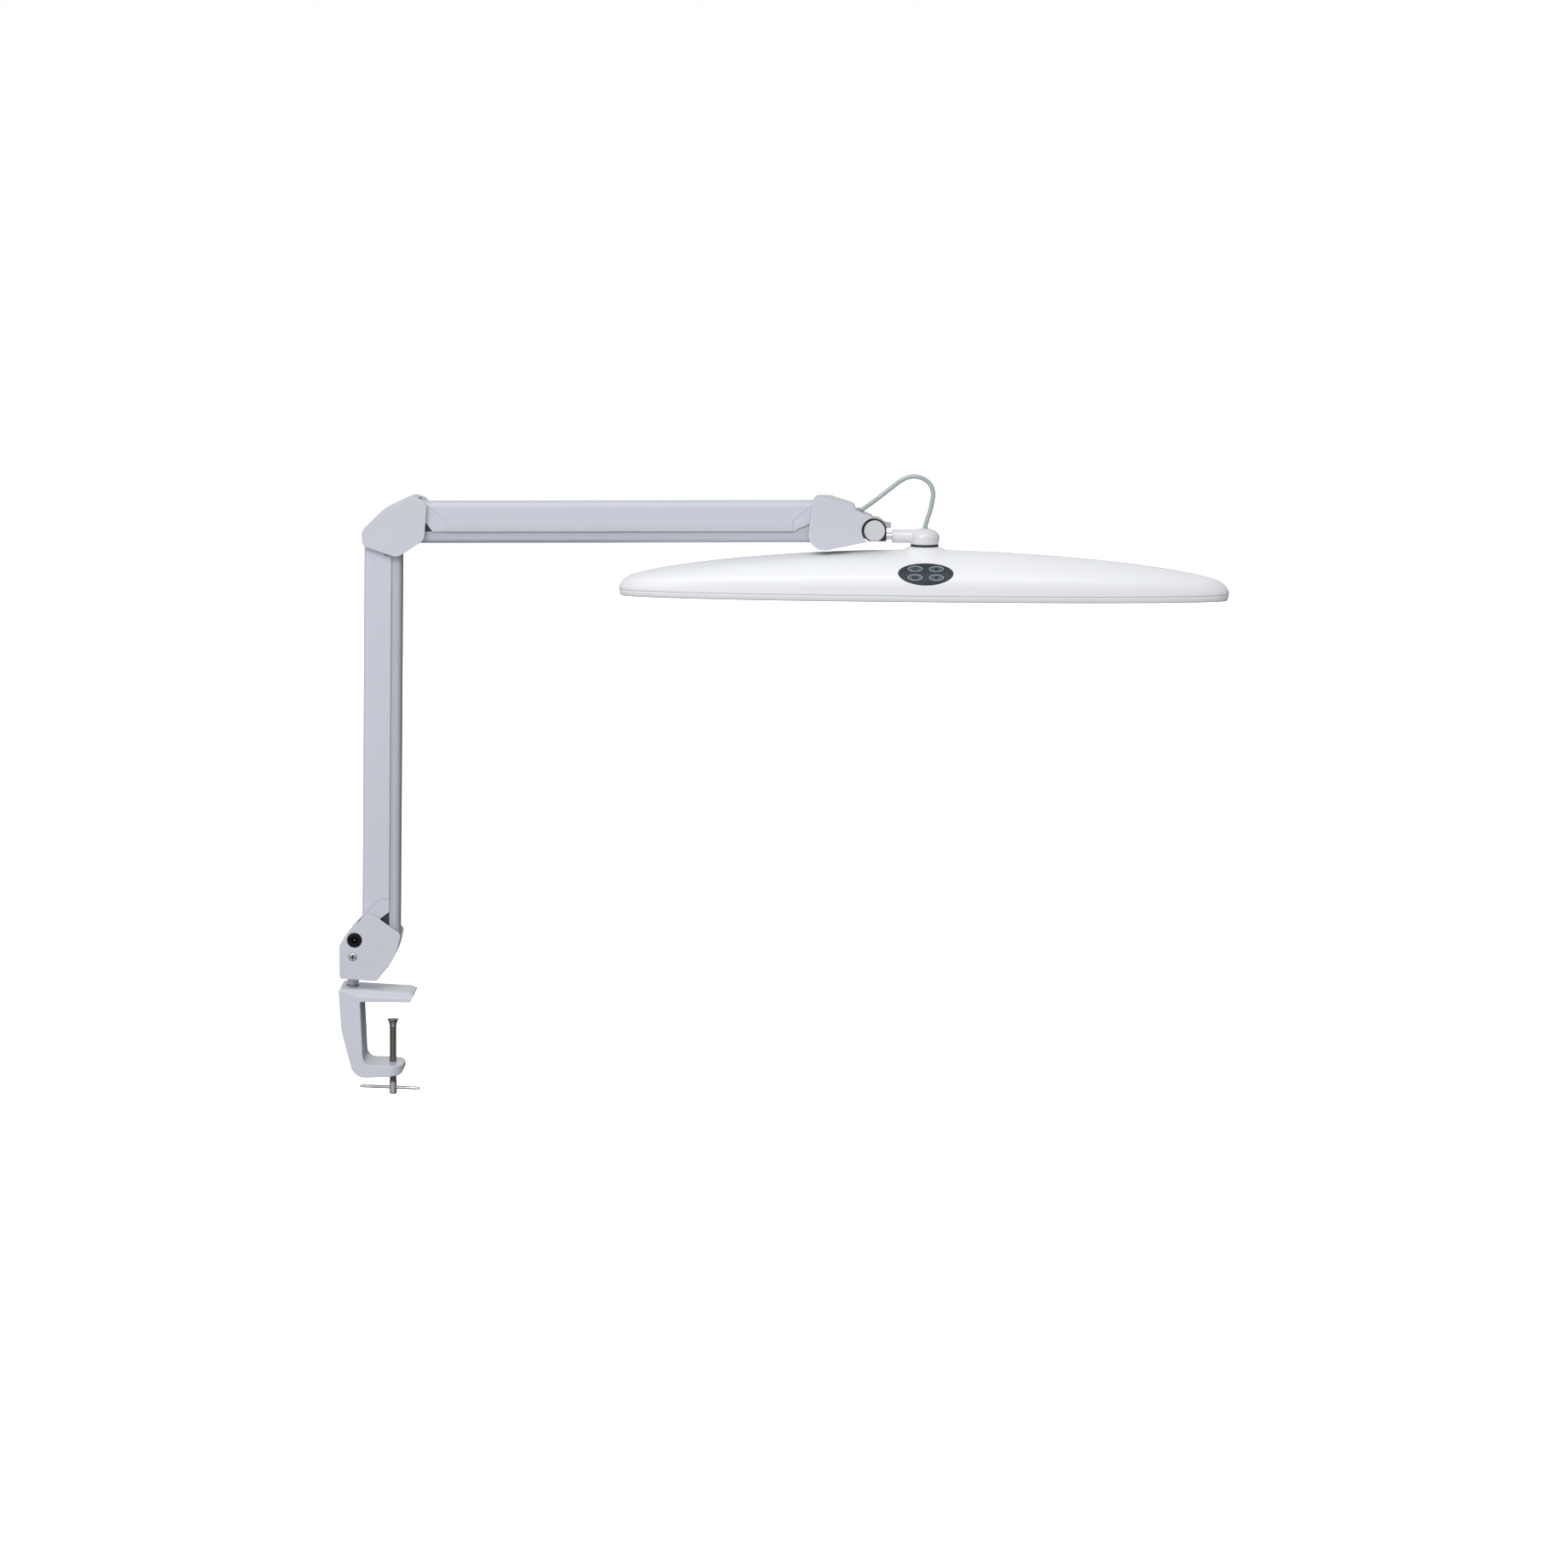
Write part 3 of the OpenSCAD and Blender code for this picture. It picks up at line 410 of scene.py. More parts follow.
def material(name, colour, rough, metal=0.0, coat=0.0, coat_rough=0.1, vary=0.03, cloud=18, rough_vary=0.06,
             bump=((900, 0.05, 0.1),), spec=0.5, stretch=(1, 1, 1), subsurface=0.0, wear=None):
    """Principled material with clouded colour and roughness.

    bump has layers of (scale per metre, strength, depth in mm); wear is the colour of rubbed edges.
    """
    m = bpy.data.materials.new(name)
    m.use_nodes = True
    tree = m.node_tree
    coord = shader(tree, "TexCoord").outputs["Object"]
    place = shader(tree, "Mapping", {"Vector": coord, "Scale": stretch}).outputs["Vector"]

    def noise(scale, detail, roughness=0.5):
        inputs = {"Vector": place, "Scale": scale, "Detail": detail, "Roughness": roughness}
        return shader(tree, "TexNoise", inputs).outputs["Fac"]

    ramp = shader(tree, "ValToRGB", {"Fac": noise(cloud, 4)})
    for stop, at, share in zip(ramp.color_ramp.elements, (0.3, 0.7), (1 - vary, 1 + vary)):
        stop.position, stop.color = at, (*np.clip(np.array(colour, float) * share, 0, 1), 1)
    paint = ramp.outputs["Color"]
    if wear:
        edge = remap(tree, shader(tree, "NewGeometry").outputs["Pointiness"], 0.52, 0.60)
        inputs = {"Factor": combine(tree, "MULTIPLY", edge, noise(260, 5, 0.7)), "A": paint, "B": (*wear, 1)}
        paint = shader(tree, "Mix", inputs, data_type="RGBA").outputs["Result"]
    dull = remap(tree, noise(cloud * 3.1, 5, 0.6), 0.25, 0.75, max(0.02, rough - rough_vary),
                 min(1, rough + rough_vary))
    inputs = {"Base Color": paint, "Roughness": dull, "Metallic": metal, "IOR": 1.5,
              "Specular IOR Level": spec, "Coat Weight": coat, "Coat Roughness": coat_rough}
    if subsurface:
        inputs |= {"Subsurface Weight": subsurface, "Subsurface Radius": (1, 0.95, 0.9),
                   "Subsurface Scale": 0.002}
    for scale, strength, depth in bump:
        layer = {"Strength": strength, "Distance": depth * MM, "Height": noise(scale, 2)}
        if "Normal" in inputs:
            layer["Normal"] = inputs["Normal"]
        inputs["Normal"] = shader(tree, "Bump", layer).outputs["Normal"]
    if coat:
        inputs["Coat Normal"] = inputs["Normal"]
    feed(tree, tree.nodes["Principled BSDF"], inputs)
    return m


ENAMEL = material("clamp_enamel", (0.62, 0.64, 0.70), 0.28, coat=0.15, coat_rough=0.1, spec=0.35, vary=0.015,
                  rough_vary=0.05,
                  bump=((260, 0.035, 0.3), (1400, 0.05, 0.04)), wear=(0.52, 0.53, 0.56))
ARM = material("arm_powder_coat", (0.60, 0.62, 0.69), 0.42, vary=0.012, cloud=9, rough_vary=0.05,
               bump=((2600, 0.22, 0.06), (500, 0.08, 0.1)), wear=(0.50, 0.51, 0.55))
INNER = material("inner_channel_paint", (0.50, 0.51, 0.57), 0.46, vary=0.015, cloud=9,
                 bump=((2600, 0.22, 0.06),), wear=(0.42, 0.43, 0.46))
KNUCKLE = material("knuckle_abs", (0.60, 0.615, 0.675), 0.44, vary=0.012, cloud=14, rough_vary=0.04,
                   bump=((3800, 0.3, 0.05), (300, 0.05, 0.2)), subsurface=0.02)
CANOPY = material("canopy_abs", (0.84, 0.85, 0.875), 0.40, coat=0.12, coat_rough=0.2, vary=0.008, cloud=6,
                  rough_vary=0.04,
                  bump=((3000, 0.10, 0.03),), subsurface=0.03)
GLOSS = material("joint_gloss_white", (0.74, 0.745, 0.765), 0.24, coat=0.35, coat_rough=0.08, vary=0.01,
                 cloud=40,
                 bump=((500, 0.10, 0.15), (3000, 0.08, 0.03)), subsurface=0.03)
CAP = material("cap_white", (0.62, 0.63, 0.67), 0.33, vary=0.015, cloud=60, bump=((2600, 0.2, 0.04),))
# black of the real black parts, also used as painted shade in the screw recesses and the channel notches
BLACK_AND_SHADE = material("black_plastic", (0.018, 0.018, 0.020), 0.42, vary=0.25, cloud=80, rough_vary=0.08,
                 bump=((2800, 0.35, 0.06),), wear=(0.06, 0.06, 0.065))
JACK = material("jack_black", (0.004, 0.004, 0.005), 0.34, vary=0.2, cloud=90, bump=((2500, 0.15, 0.03),),
                spec=0.2)
# the bush's plastic, made darker as painted shade of the shaded counterbore round the spigot
BUSH_AND_SHADE = material("bush_plastic", (0.055, 0.058, 0.064), 0.45, vary=0.2, cloud=90, bump=((2500, 0.3, 0.05),))
STEEL = material("turned_steel", (0.30, 0.28, 0.25), 0.27, metal=1.0, vary=0.18, cloud=160, rough_vary=0.12,
                 bump=((1200, 0.15, 0.05),), stretch=(1, 1, 0.25))
ZINC = material("bright_zinc", (0.60, 0.61, 0.62), 0.26, metal=1.0, vary=0.10, cloud=220, rough_vary=0.1,
                bump=((1500, 0.12, 0.04),))
CHROME = material("chrome", (0.78, 0.79, 0.81), 0.07, metal=1.0, vary=0.02, cloud=120, rough_vary=0.03,
                  bump=((700, 0.04, 0.03),))
SPRING = material("spring_wire", (0.42, 0.42, 0.43), 0.33, metal=1.0, vary=0.2, cloud=300, rough_vary=0.1,
                  bump=((3000, 0.15, 0.03),))
BRASS = material("contact_metal", (0.66, 0.56, 0.36), 0.22, metal=1.0, vary=0.1, cloud=400,
                 bump=((3000, 0.1, 0.02),))
CABLE = material("cable_pvc", (0.40, 0.455, 0.465), 0.16, coat=0.8, coat_rough=0.05, vary=0.04, cloud=60,
                 rough_vary=0.06,
                 bump=((900, 0.15, 0.06), (4000, 0.12, 0.02)), subsurface=0.02)
GROMMET = material("grommet_rubber", (0.42, 0.43, 0.46), 0.55, vary=0.15, cloud=120,
                   bump=((3500, 0.3, 0.04),))
OPAL = material("opal_acrylic", (0.86, 0.87, 0.87), 0.5, vary=0.01, cloud=12, bump=((1400, 0.5, 0.12),),
                subsurface=0.25)
BOARD = material("board_solder_mask", (0.72, 0.73, 0.73), 0.4, vary=0.03, cloud=60, bump=((1800, 0.2, 0.05),))
LED = material("led_phosphor", (0.80, 0.62, 0.16), 0.35, vary=0.1, cloud=500, bump=((3000, 0.2, 0.03),))
PCB = material("driver_board_green", (0.03, 0.16, 0.07), 0.38, vary=0.25, cloud=220,
               bump=((2200, 0.35, 0.08),))
PANEL = material("keypad_membrane", (0.026, 0.036, 0.045), 0.46, vary=0.10, cloud=60, rough_vary=0.06,
                 bump=((3600, 0.25, 0.03),), spec=0.3)
KEY = material("key_membrane", (0.080, 0.098, 0.110), 0.42, vary=0.10, cloud=90, bump=((3600, 0.2, 0.03),),
               spec=0.3)
PRINT = material("key_print", (0.33, 0.42, 0.46), 0.4, vary=0.04, cloud=300, bump=((3000, 0.1, 0.02),))

# ---- looped lead: knuckle to the swivel housing, in two pieces that meet at its top ----
LOOP = [(-36, 5.5, 15.6), (-31, 3, 13.8), (-25, 1, 12.6), (-19, 0, 14), (-15, 0, 16), (-11, 0, 18.8),
        (-2, 0, 25.2), (7, 0, 32.2), (16, 0, 39.4), (24, 0, 45.5), (31, 0, 48.8), (38, 0, 49.5),
        (44.4, 0, 47.8), (49.8, 0, 44.2), (53, 0, 39.2), (54.2, 0, 33.7), (53.7, 0, 28), (51.9, 0, 18.7),
        (49.4, 0, 10.7), (47.4, 0, 3.2), (46.8, 0, -2), (46.8, 0, -6)]
TOP_OF_LOOP = 11
STEPS = 5
origin = np.array([TILT_PIN[0], 0, TILT_PIN[1]])
loop_path = smooth_path(LOOP, STEPS) + origin
loop_rings = rings(loop_path, LEAD_R, 24)
cut = TOP_OF_LOOP * STEPS
apex = loop_path[cut] * MM
for label, part, bodies, start, end in (
        ("head_cable_knuckle_side", slice(0, cut + 1), ("head_knuckle", "tilt"),
         (np.array([-11, 0, 18.8]) + origin) * MM, apex),
        ("head_cable_swivel_side", slice(cut, None), ("tilt", "roll"), apex,
         (np.array([46.8, 0, 2]) + origin) * MM)):
    o = piece(label, grid(loop_rings[part]), CABLE, None, "head_cable", angle=60, weighted=False)
    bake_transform(o)

# ---- clamp ----
SPIGOT_X, SCREW_X, BAR_Z = -32, 5.4, -86.2
CLAMP_HALF, JAW_END, CORNER_R = 25, 16.3, 14
SCREW_R, THREAD_PITCH, THREAD_DEPTH = 3.5, 1.25, 0.62
CLAMP = [(-43.9, 12.2, 2.5), (-41.3, -27.7, 60), (-29.5, -73.2, 14), (5.1, -71.5, 30), (JAW_END, -70.2, 5),
         (JAW_END, -61.6, 2.5), (5, -61, 20), (-20.6, -61, 9), (-23.3, 0, 0.8), (23.6, 0, 0.8),
         (27.3, 6.3, 1.5), (21.7, 9.0, 1.5)]
# a slanted cut along each top edge, and round corners on the lower jaw
wedge = mesh([(-44.5, -25.01, 12.4), (-24.8, -25.01, 5.2), (-24.8, -18, 12.4), (-24.8, -25.01, 14),
              (30, -25.01, 3.6), (30, -18, 9.2), (30, -25.01, 14), (-24.8, -18, 14), (30, -18, 14)],
             [(0, 1, 2), (0, 3, 1), (0, 2, 7, 3), (1, 4, 5, 2), (1, 3, 6, 4), (2, 5, 8, 7), (3, 7, 8, 6),
              (4, 6, 8, 5)])
corner_x, corner_y = JAW_END - CORNER_R, CORNER_R - CLAMP_HALF
corner = boolean(box(corner_x, JAW_END + 1, -CLAMP_HALF - 1, corner_y, -77, -59),
                 move(rod(CORNER_R, -80, -50, 0, 96), corner_x, corner_y, 0))
cast = boolean(cut_prism(rounded(CLAMP, 10), -CLAMP_HALF, CLAMP_HALF), wedge.copy(), mirrored(wedge),
               corner.copy(), mirrored(corner))
cast = boolean(remeshed(cast, 0.5, 16), move(rod(6.0, -30, 30, 0, 96), x=SPIGOT_X),
               move(lathe([(0, 11.0), (6.0, 11.0), (7.8, 13.0), (7.8, 16), (0, 16)], 96), x=SPIGOT_X),
               move(rod(SCREW_R + 0.05, -90, -50, 0, 64), x=SCREW_X))
piece("clamp_body_cast", cast, ENAMEL, "clamp", angle=50)
bush = turned([(4.05, -28), (4.05, 11.6), (5.2, 11.9), (6.0, 11.2), (6.0, -29.9), (0, -29.9), (0, -28)], 0.3)
piece("spigot_bush_flanged", move(bush, x=SPIGOT_X), BUSH_AND_SHADE, "clamp")
pad = turned([(0, 0), (4.8, 0), (5.7, -0.35), (5.6, -0.9), (4.4, -1.8), (3.95, -2.9), (3.9, -4.3),
              (3.6, -4.6),
              (2.05, -4.6), (2.05, -1.7), (0, -1.7)], 0.25)
piece("pressure_pad_turned", move(pad, x=SCREW_X, z=-20.2), STEEL, "pad")


def threaded(r, z0, z1, n=48):
    """Rows of a shaft with a real V thread that fades out at both ends."""
    a = np.arange(n) / n
    rows = []
    for z in np.arange(z0, z1 + 1e-6, THREAD_PITCH / 8):
        v = np.abs(((z / THREAD_PITCH) - a) % 1 * 2 - 1)
        fade = min(1.0, (z - z0) / THREAD_PITCH, (z1 - z) / THREAD_PITCH)
        rows.append((r - THREAD_DEPTH * fade * np.clip(v * 1.25 - 0.12, 0, 1), z))
    return rows


rows = ring_rows([(2.5, -92.4), (2.9, -92.2), (3.4, -91.6), (SCREW_R, -91.2), (SCREW_R, -81.2),
                  *threaded(SCREW_R, -80.4, -26.0), (3.3, -25.4), (2.9, -24.9), (2.0, -24.8), (2.0, -22.5),
                  (1.7, -22.3)], 48)
o = piece("clamp_screw_threaded", move(grid(rows), x=SCREW_X), [STEEL, ZINC], "screw", angle=30,
          weighted=False)
for poly in o.data.polygons:
    poly.material_index = int(poly.center.z < -81.0 * MM)

# the tommy bar's ends are flattened wider than its hole
BAR_HALF, BAR_R, BAR_SLID = 29, 1.5, -3.2
s = np.concatenate([[-BAR_HALF, -28.9, -28.5], np.linspace(-27.4, 27.4, 20), [28.5, 28.9, BAR_HALF]])
bar = rings(np.stack([s, 0 * s, 0 * s], 1), BAR_R, 24)
for row, x in zip(bar, s):
    e = np.clip((abs(x) - 25.5) / 2.2, 0, 1)
    k = 1 - 0.25 * (abs(x) > 28.8)
    row[:, 1:] *= np.array([1 + 0.30 * e, 1 - 0.22 * e]) * k
bar = turn(move(grid(bar), x=BAR_SLID), "Z", -8)
piece("tommy_bar_staked", move(bar, x=SCREW_X, z=BAR_Z), ZINC, "bar", angle=40)

# ---- knuckles ----
BASE = [(-29.1, -49.8, 2.5), (5.7, -52, 5), (23.6, -30, 60), (28.9, -7, 5), (-1.2, 14.2, 11),
        (-17, -1.6, 30), (-29.1, -17.5, 4)]
ELBOW = [(22.8, -19.4, 9), (48.1, -2.6, 7), (50.8, 33.8, 9), (36.3, 37.8, 8), (8.3, 24.3, 40),
         (-10.1, 6, 10), (-10, -8.6, 7)]
HEAD = [(-16, -39.1, 15), (54, -23.9, 0), (54, -7.3, 0), (3, 14.3, 8), (-9, 14.6, 7)]
DC = (-28.8, 57.9)
SCREW = (-30.5, 41.9)
base_line, elbow_line, head_line = (rounded(q, 14) + pin for q,
                                    pin in ((BASE, BASE_PIN), (ELBOW, ELBOW_PIN), (HEAD, HEAD_PIN)))


def bitten(line, c, r, n=36):
    """Outline with the part inside a circle cut away along the circle."""
    line = np.asarray(line)
    inside = np.hypot(*(line - c).T) < r
    k = next(i for i in range(len(line)) if not inside[i] and inside[(i + 1) % len(line)])
    line, inside = np.roll(line, -k, 0), np.roll(inside, -k)
    j = max(i for i in range(len(line)) if inside[i])

    def cross(p, q):
        lo, hi = 0.0, 1.0
        for _ in range(40):
            mid = (lo + hi) / 2
            if np.hypot(*(p + (q - p) * mid - c)) > r:
                lo = mid
            else:
                hi = mid
        return p + (q - p) * lo

    p, q = cross(line[0], line[1]), cross(line[(j + 1) % len(line)], line[j])
    a, b = math.atan2(*(p - c)[::-1]), math.atan2(*(q - c)[::-1])
    sweep = (b - a) % (2 * pi)
    if sweep > pi:
        sweep -= 2 * pi
    return np.vstack([line[:1], circle(*c, r, n, a, sweep, True), line[j + 1:]])


def inset(line, d):
    """Outline moved inwards by d; line runs counter-clockwise."""
    line = np.asarray(line, float)
    area = sum(a[0] * b[1] - b[0] * a[1] for a, b in zip(line, np.roll(line, -1, 0)))
    t = np.roll(line, -1, 0) - np.roll(line, 1, 0)
    n = np.stack([-t[:, 1], t[:, 0]], 1) / np.linalg.norm(t, axis=1)[:, None]
    return line + n * d * (1 if area > 0 else -1)


WALL_HALF = PLATE_IN + 0.2


def knuckle(outline, wall_area, extra=(), cutters=(), bites=None):
    """Bracket: two side plates joined by a wall that follows the outline inside the given area."""
    inner = inset(outline, 1.2)
    plate = cut_prism(inner if bites is None else bitten(inner, *bites), -COVER_IN, -PLATE_IN)
    wall = cut_prism(inset(outline, 0.25), -WALL_HALF, WALL_HALF)
    wall = common(boolean(wall, cut_prism(inset(outline, 1.5), -30, 30)), cut_prism(wall_area, -40, 40))
    return eased(boolean(union(plate.copy(), mirrored(plate), wall, *extra), *cutters), 0.35, 2)


def covers(name, body, outline, holes=(), front_holes=()):
    for side, y0, y1, own in (("front", -COVER_OUT, -COVER_IN, front_holes),
                              ("back", COVER_IN, COVER_OUT, ())):
        cover = prism([outline, *own, *holes], y0, y1, 0.65, 4)
        piece(f"{name}_cover_{side}_moulded", cover, KNUCKLE, body)


def bore(at, r, y0=-30, y1=30):
    return along_y(rod(r, -y1, -y0, 0, 64), at)


spigot = lathe([(0, -27), (4, -27), (4, 12.2), (5.8, 17.2), (5.8, 22), (0, 22)], 64)
base = knuckle(base_line, BASE_PIN + [(-40, -60), (-10, -60), (-13, 3), (-40, 3)],
               [box(-41, -21, -WALL_HALF, WALL_HALF, 21, 30), move(spigot, x=SPIGOT_X)],
               [bore(DC, 5.6, -30, -15.2)])
piece("base_bracket_moulded", base, KNUCKLE, "base")
covers("base", "base", base_line, [circle(*SCREW, 3.95)], [circle(*DC, 7.05)])

# cross-head cover screws, with black painted shade in the recess
SLOT_HALF, SLOT_LONG, SLOT_Z = 0.6, 2.2, 0.75
screw = turned([(0, -3.4), (1.6, -3.4), (1.6, 0.2), (3.75, 0.2), (3.75, 1.05), (3.0, 1.45), (0, 1.75)], 0.25,
               56)
screw = boolean(screw, box(-SLOT_LONG, SLOT_LONG, -SLOT_HALF, SLOT_HALF, SLOT_Z, 3),
                box(-SLOT_HALF, SLOT_HALF, -SLOT_LONG, SLOT_LONG, SLOT_Z, 3),
                lathe([(0, 0.5), (0.55, 0.9), (1.15, 2.4), (0, 2.4)], 4))
screw = eased(screw, 0.08, 2)
recess_shade = []
for p in screw.polygons:
    reach = math.hypot(*p.center.xy)
    recess_shade.append(int(0.3 < p.center.z < 1.62 - 0.1 * reach and reach < SLOT_LONG + 0.1))
screw = along_y(screw, SCREW, -COVER_IN - 0.6)
o = piece("base_cover_screws_cross", join(screw, mirrored(screw)), [ZINC, BLACK_AND_SHADE], "base")
# the faces in the recess take the black: painted shade
for k, poly in enumerate(o.data.polygons):
    poly.material_index = recess_shade[k % len(recess_shade)]
socket = turned([(0, 9.3), (0.95, 9.3), (0.95, 9.0), (2.8, 9.0), (2.8, 19.9), (3.3, 20.6), (4.6, 20.75),
                 (5.0, 20.3), (5.4, 20.3), (5.8, 20.8), (6.5, 20.5), (6.7, 18.6), (5.6, 18.5), (5.6, 2),
                 (0, 2)],
                0.15, 72, 3)
piece("dc_socket_barrel", along_y(socket, DC), JACK, "base")
contact = turned([(0, 9.3), (0.95, 9.3), (0.95, 19.0), (0.5, 19.6), (0, 19.6)], 0.3, 32)
piece("dc_pin_contact", along_y(contact, DC), BRASS, "base")


def pins(name, body, spots):
    """Shoulder rivets on both sides: [centre, inner end]."""
    parts = []
    for at, end in spots:
        profile = [(0, end), (3, end), (3, COVER_IN - 0.35), (0, COVER_IN - 0.05)]
        p = along_y(turned(profile, 0.3, 40), at)
        parts += [p, mirrored(p)]
    piece(f"{name}_pivot_rivets", join(*parts), ZINC, body, f"{name}_pivot_pins")


PIN_OUT, PIN_IN = OUTER_HALF - SHEET - 0.3, INNER_HALF - SHEET - 0.2
pins("base", "base", [(BASE_PIN, PIN_OUT), (BASE_PIN + LINK_LOW, PIN_IN)])
pins("elbow", "elbow", [(ELBOW_PIN, PIN_OUT), (ELBOW_PIN + LINK_LOW, PIN_IN), (SHOULDER_PIN, PIN_OUT),
                        (SHOULDER_PIN + LINK_UP, PIN_IN)])
pins("head", "head_knuckle", [(HEAD_PIN, PIN_OUT), (HEAD_PIN + LINK_UP, PIN_IN)])

elbow = knuckle(elbow_line, ELBOW_PIN + [(-4, 13), (34, 50), (42, 50), (42, 30), (12, 5)])
piece("elbow_bracket_moulded", elbow, KNUCKLE, "elbow")
covers("elbow", "elbow", elbow_line)

BITE = (TILT_PIN, 12.0)
GLAND_LEAN, GLAND_AT = 55, (TILT_PIN[0] - 15, 0, TILT_PIN[1] + 16)
hump = rounded([(12, 9.0, 0), (3.5, 12.8, 0), (3.5, 14.2, 0.3), (7, 14.2, 4), (28.4, 7.4, 1.5), (30, 4.2, 1),
                (30, 1.4, 0)])
hump = cut_prism(hump + HEAD_PIN, -COVER_IN + 0.1, COVER_IN - 0.1)
web = box(HEAD_PIN[0] + 24, HEAD_PIN[0] + 35, -WALL_HALF, WALL_HALF, HEAD_PIN[1] - 27, HEAD_PIN[1] - 7)
head = knuckle(head_line, HEAD_PIN + [(3.5, 30), (50, 20), (50, -9), (3.5, 5)], [hump, web], [bore(*BITE)],
               BITE)
tongue = join(box(HEAD_PIN[0] + 30, TILT_PIN[0], -6, 6, TILT_PIN[1] - 7, TILT_PIN[1] + 7))
tongue = boolean(union(tongue, bore(TILT_PIN, 7, -6, 6)), bore(TILT_PIN, 3.0))
head = boolean(head, move(turn(rod(3.6, -12, 8, 0, 48), "Y", GLAND_LEAN), *GLAND_AT))
piece("head_bracket_moulded", union(head, eased(tongue, 0.3, 2)), KNUCKLE, "head_knuckle")
covers("head", "head_knuckle", bitten(head_line, *BITE))
grommet = turned([(2.55, -1), (3.6, -1), (3.6, 1.9), (4.3, 2.2), (4.1, 2.8), (2.55, 3.0)], 0.3, 48,
                 closed=True)
grommet = move(turn(grommet, "Y", GLAND_LEAN), *GLAND_AT)
piece("cable_grommet_rubber", grommet, GROMMET, "head_knuckle")


# ---- arms ----
def arm(me, pin, lean):
    turn(me, "Y", lean)
    return move(me, pin[0], 0, pin[1])


BEND, RECESS = 4.6, 0.45


def u_section(half, web, lip, length, sign):
    """U-shaped sheet along Z with rounded bends: web at -sign*web, walls reaching sign*lip."""
    def side(off):
        h, w, r = half - off, web - off, max(0.8, BEND - off)
        pts = [(lip, -h)]
        pts += [(-w + r - r * sin(a), -h + r - r * cos(a)) for a in np.linspace(0, pi / 2, 7)]
        pts += [(-w + r - r * cos(a), h - r + r * sin(a)) for a in np.linspace(0, pi / 2, 7)]
        return pts + [(lip, h)]
    loop = side(0) + side(SHEET)[::-1]
    rows = [[(sign * x, y, z) for x, y in loop] for z in (-12, length + 12)]
    return grid(rows)


def end_outline(length, notch, web):
    low = circle(0, 0, web, 19, pi, radians(160), True)
    high = circle(0, length, web, 19, radians(20), radians(160), True)
    return np.vstack([low, notch, high])


def outer_channel(length, notch, recesses, web):
    me = u_section(OUTER_HALF, web, OUTER_REACH + 2, length, 1)
    me = common(me, cut_prism(end_outline(length, notch, web + 0.001), -40, 40))
    for region in recesses:
        me = boolean(me, cut_prism(region, -40, RECESS - OUTER_HALF),
                     cut_prism(region, OUTER_HALF - RECESS, 40))
    return eased(me, 0.28, 3, 25)


def inner_channel(length):
    me = u_section(INNER_HALF, WEB_OFF, INNER_REACH + 2, length, -1)
    low = circle(0, 0, WEB_OFF, 19, radians(200), radians(160), True)
    high = circle(0, length, WEB_OFF, 19, 0, radians(160), True)
    outline = np.vstack([low, high, [(-INNER_REACH, length - 8), (-INNER_REACH, 8)]])
    return eased(common(me, cut_prism(outline, -40, 40)), 0.28, 3, 25)


def split_off_shade(me, edge):
    """Splits the channel's near end into the painted sheet and a black piece at its free edges, which is
    painted shade for the dark inside seen through the notch.
    """
    area = rounded([(-14, -14, 0), (4, -14, 0), (edge, 4, 6), (edge, 22, 5), (-14, 34, 0)], 6)
    cutter = cut_prism(area, -40, 40)
    return boolean(me.copy(), cutter.copy()), common(me, cutter)


def from_far_end(length, corners):
    return [(x, length + z, r) for x, z, r in corners]


def rounded_notch(length, near, far):
    """Notch from corners at both ends of a channel, rounded except at its own two ends."""
    q = near + from_far_end(length, far)
    q = [(q[0][0] - 8, q[0][1], 0)] + q + [(q[-1][0] - 8, q[-1][1], 0)]
    return rounded(q, 5)[1:-1]


def recess_pair(length, near, far):
    """Outlines of the recesses at a channel's ends, closed past each end."""
    return [rounded(near + [(19, -12, 0), (-12, -12, 0)]),
            rounded(from_far_end(length, far + [(19, 12, 0), (-12, 12, 0)]))]


def in_frame(p, theta):
    """A world offset [x, z] in the frame of an arm that leans by theta from +Z."""
    return np.array([p[0] * cos(theta) - p[1] * sin(theta), p[0] * sin(theta) + p[1] * cos(theta)])


def coil_spring(p, q):
    """Close-wound extension spring with a hook at each end, from p to q in x and z."""
    d = q - p
    length = float(np.hypot(*d))
    wire, r, pitch = 0.65, 3.85, 1.42
    turns = int((length - 16) / pitch)
    a = np.linspace(0, turns * 2 * pi, turns * 18)
    z = 8 + (length - 16) * a / a[-1]
    coil = np.stack([r * np.cos(a), r * np.sin(a), z], 1)
    hook = np.array([(3.4 * sin(t), 0, -3.4 * cos(t)) for t in np.linspace(radians(-200), radians(120), 26)])
    low = np.vstack([hook, [(2.6, 0.2, 4.6), (3.3, 0.2, 6.2), (3.7, 0.1, 7.4)]])
    top = low[::-1] * [1, 1, -1] + [0, 0, length]
    me = tube(np.vstack([low, coil[3:-3], top]), wire, 8)
    turn(me, "Y", math.degrees(math.atan2(d[0], d[1])))
    return move(me, p[0], 0, p[1])


LOW_NOTCH = rounded_notch(LOWER_LEN, [(8.2, 3, 0), (9.3, 7.4, 3), (17.2, 13.5, 1.5)],
                          [(17.2, -18.5, 1.5), (11, -17.6, 3), (9, -12, 3), (8.2, -3, 0)])
UP_NOTCH = rounded_notch(UPPER_LEN, [(8.2, 3, 0), (9.3, 9.6, 3), (17.2, 15.2, 1.5)],
                         [(17.2, -24, 1), (15.8, -25, 1), (11, -14, 4), (9, -8, 3), (8.2, -3, 0)])
LOW_RECESSES = recess_pair(LOWER_LEN, [(-12, 4.6, 0), (-6.2, 10.5, 12), (8.3, 26, 9), (19, 26.1, 0)],
                           [(-12, -5.5, 0), (6.5, -27.2, 9), (13, -29.7, 5), (19, -29.6, 0)])
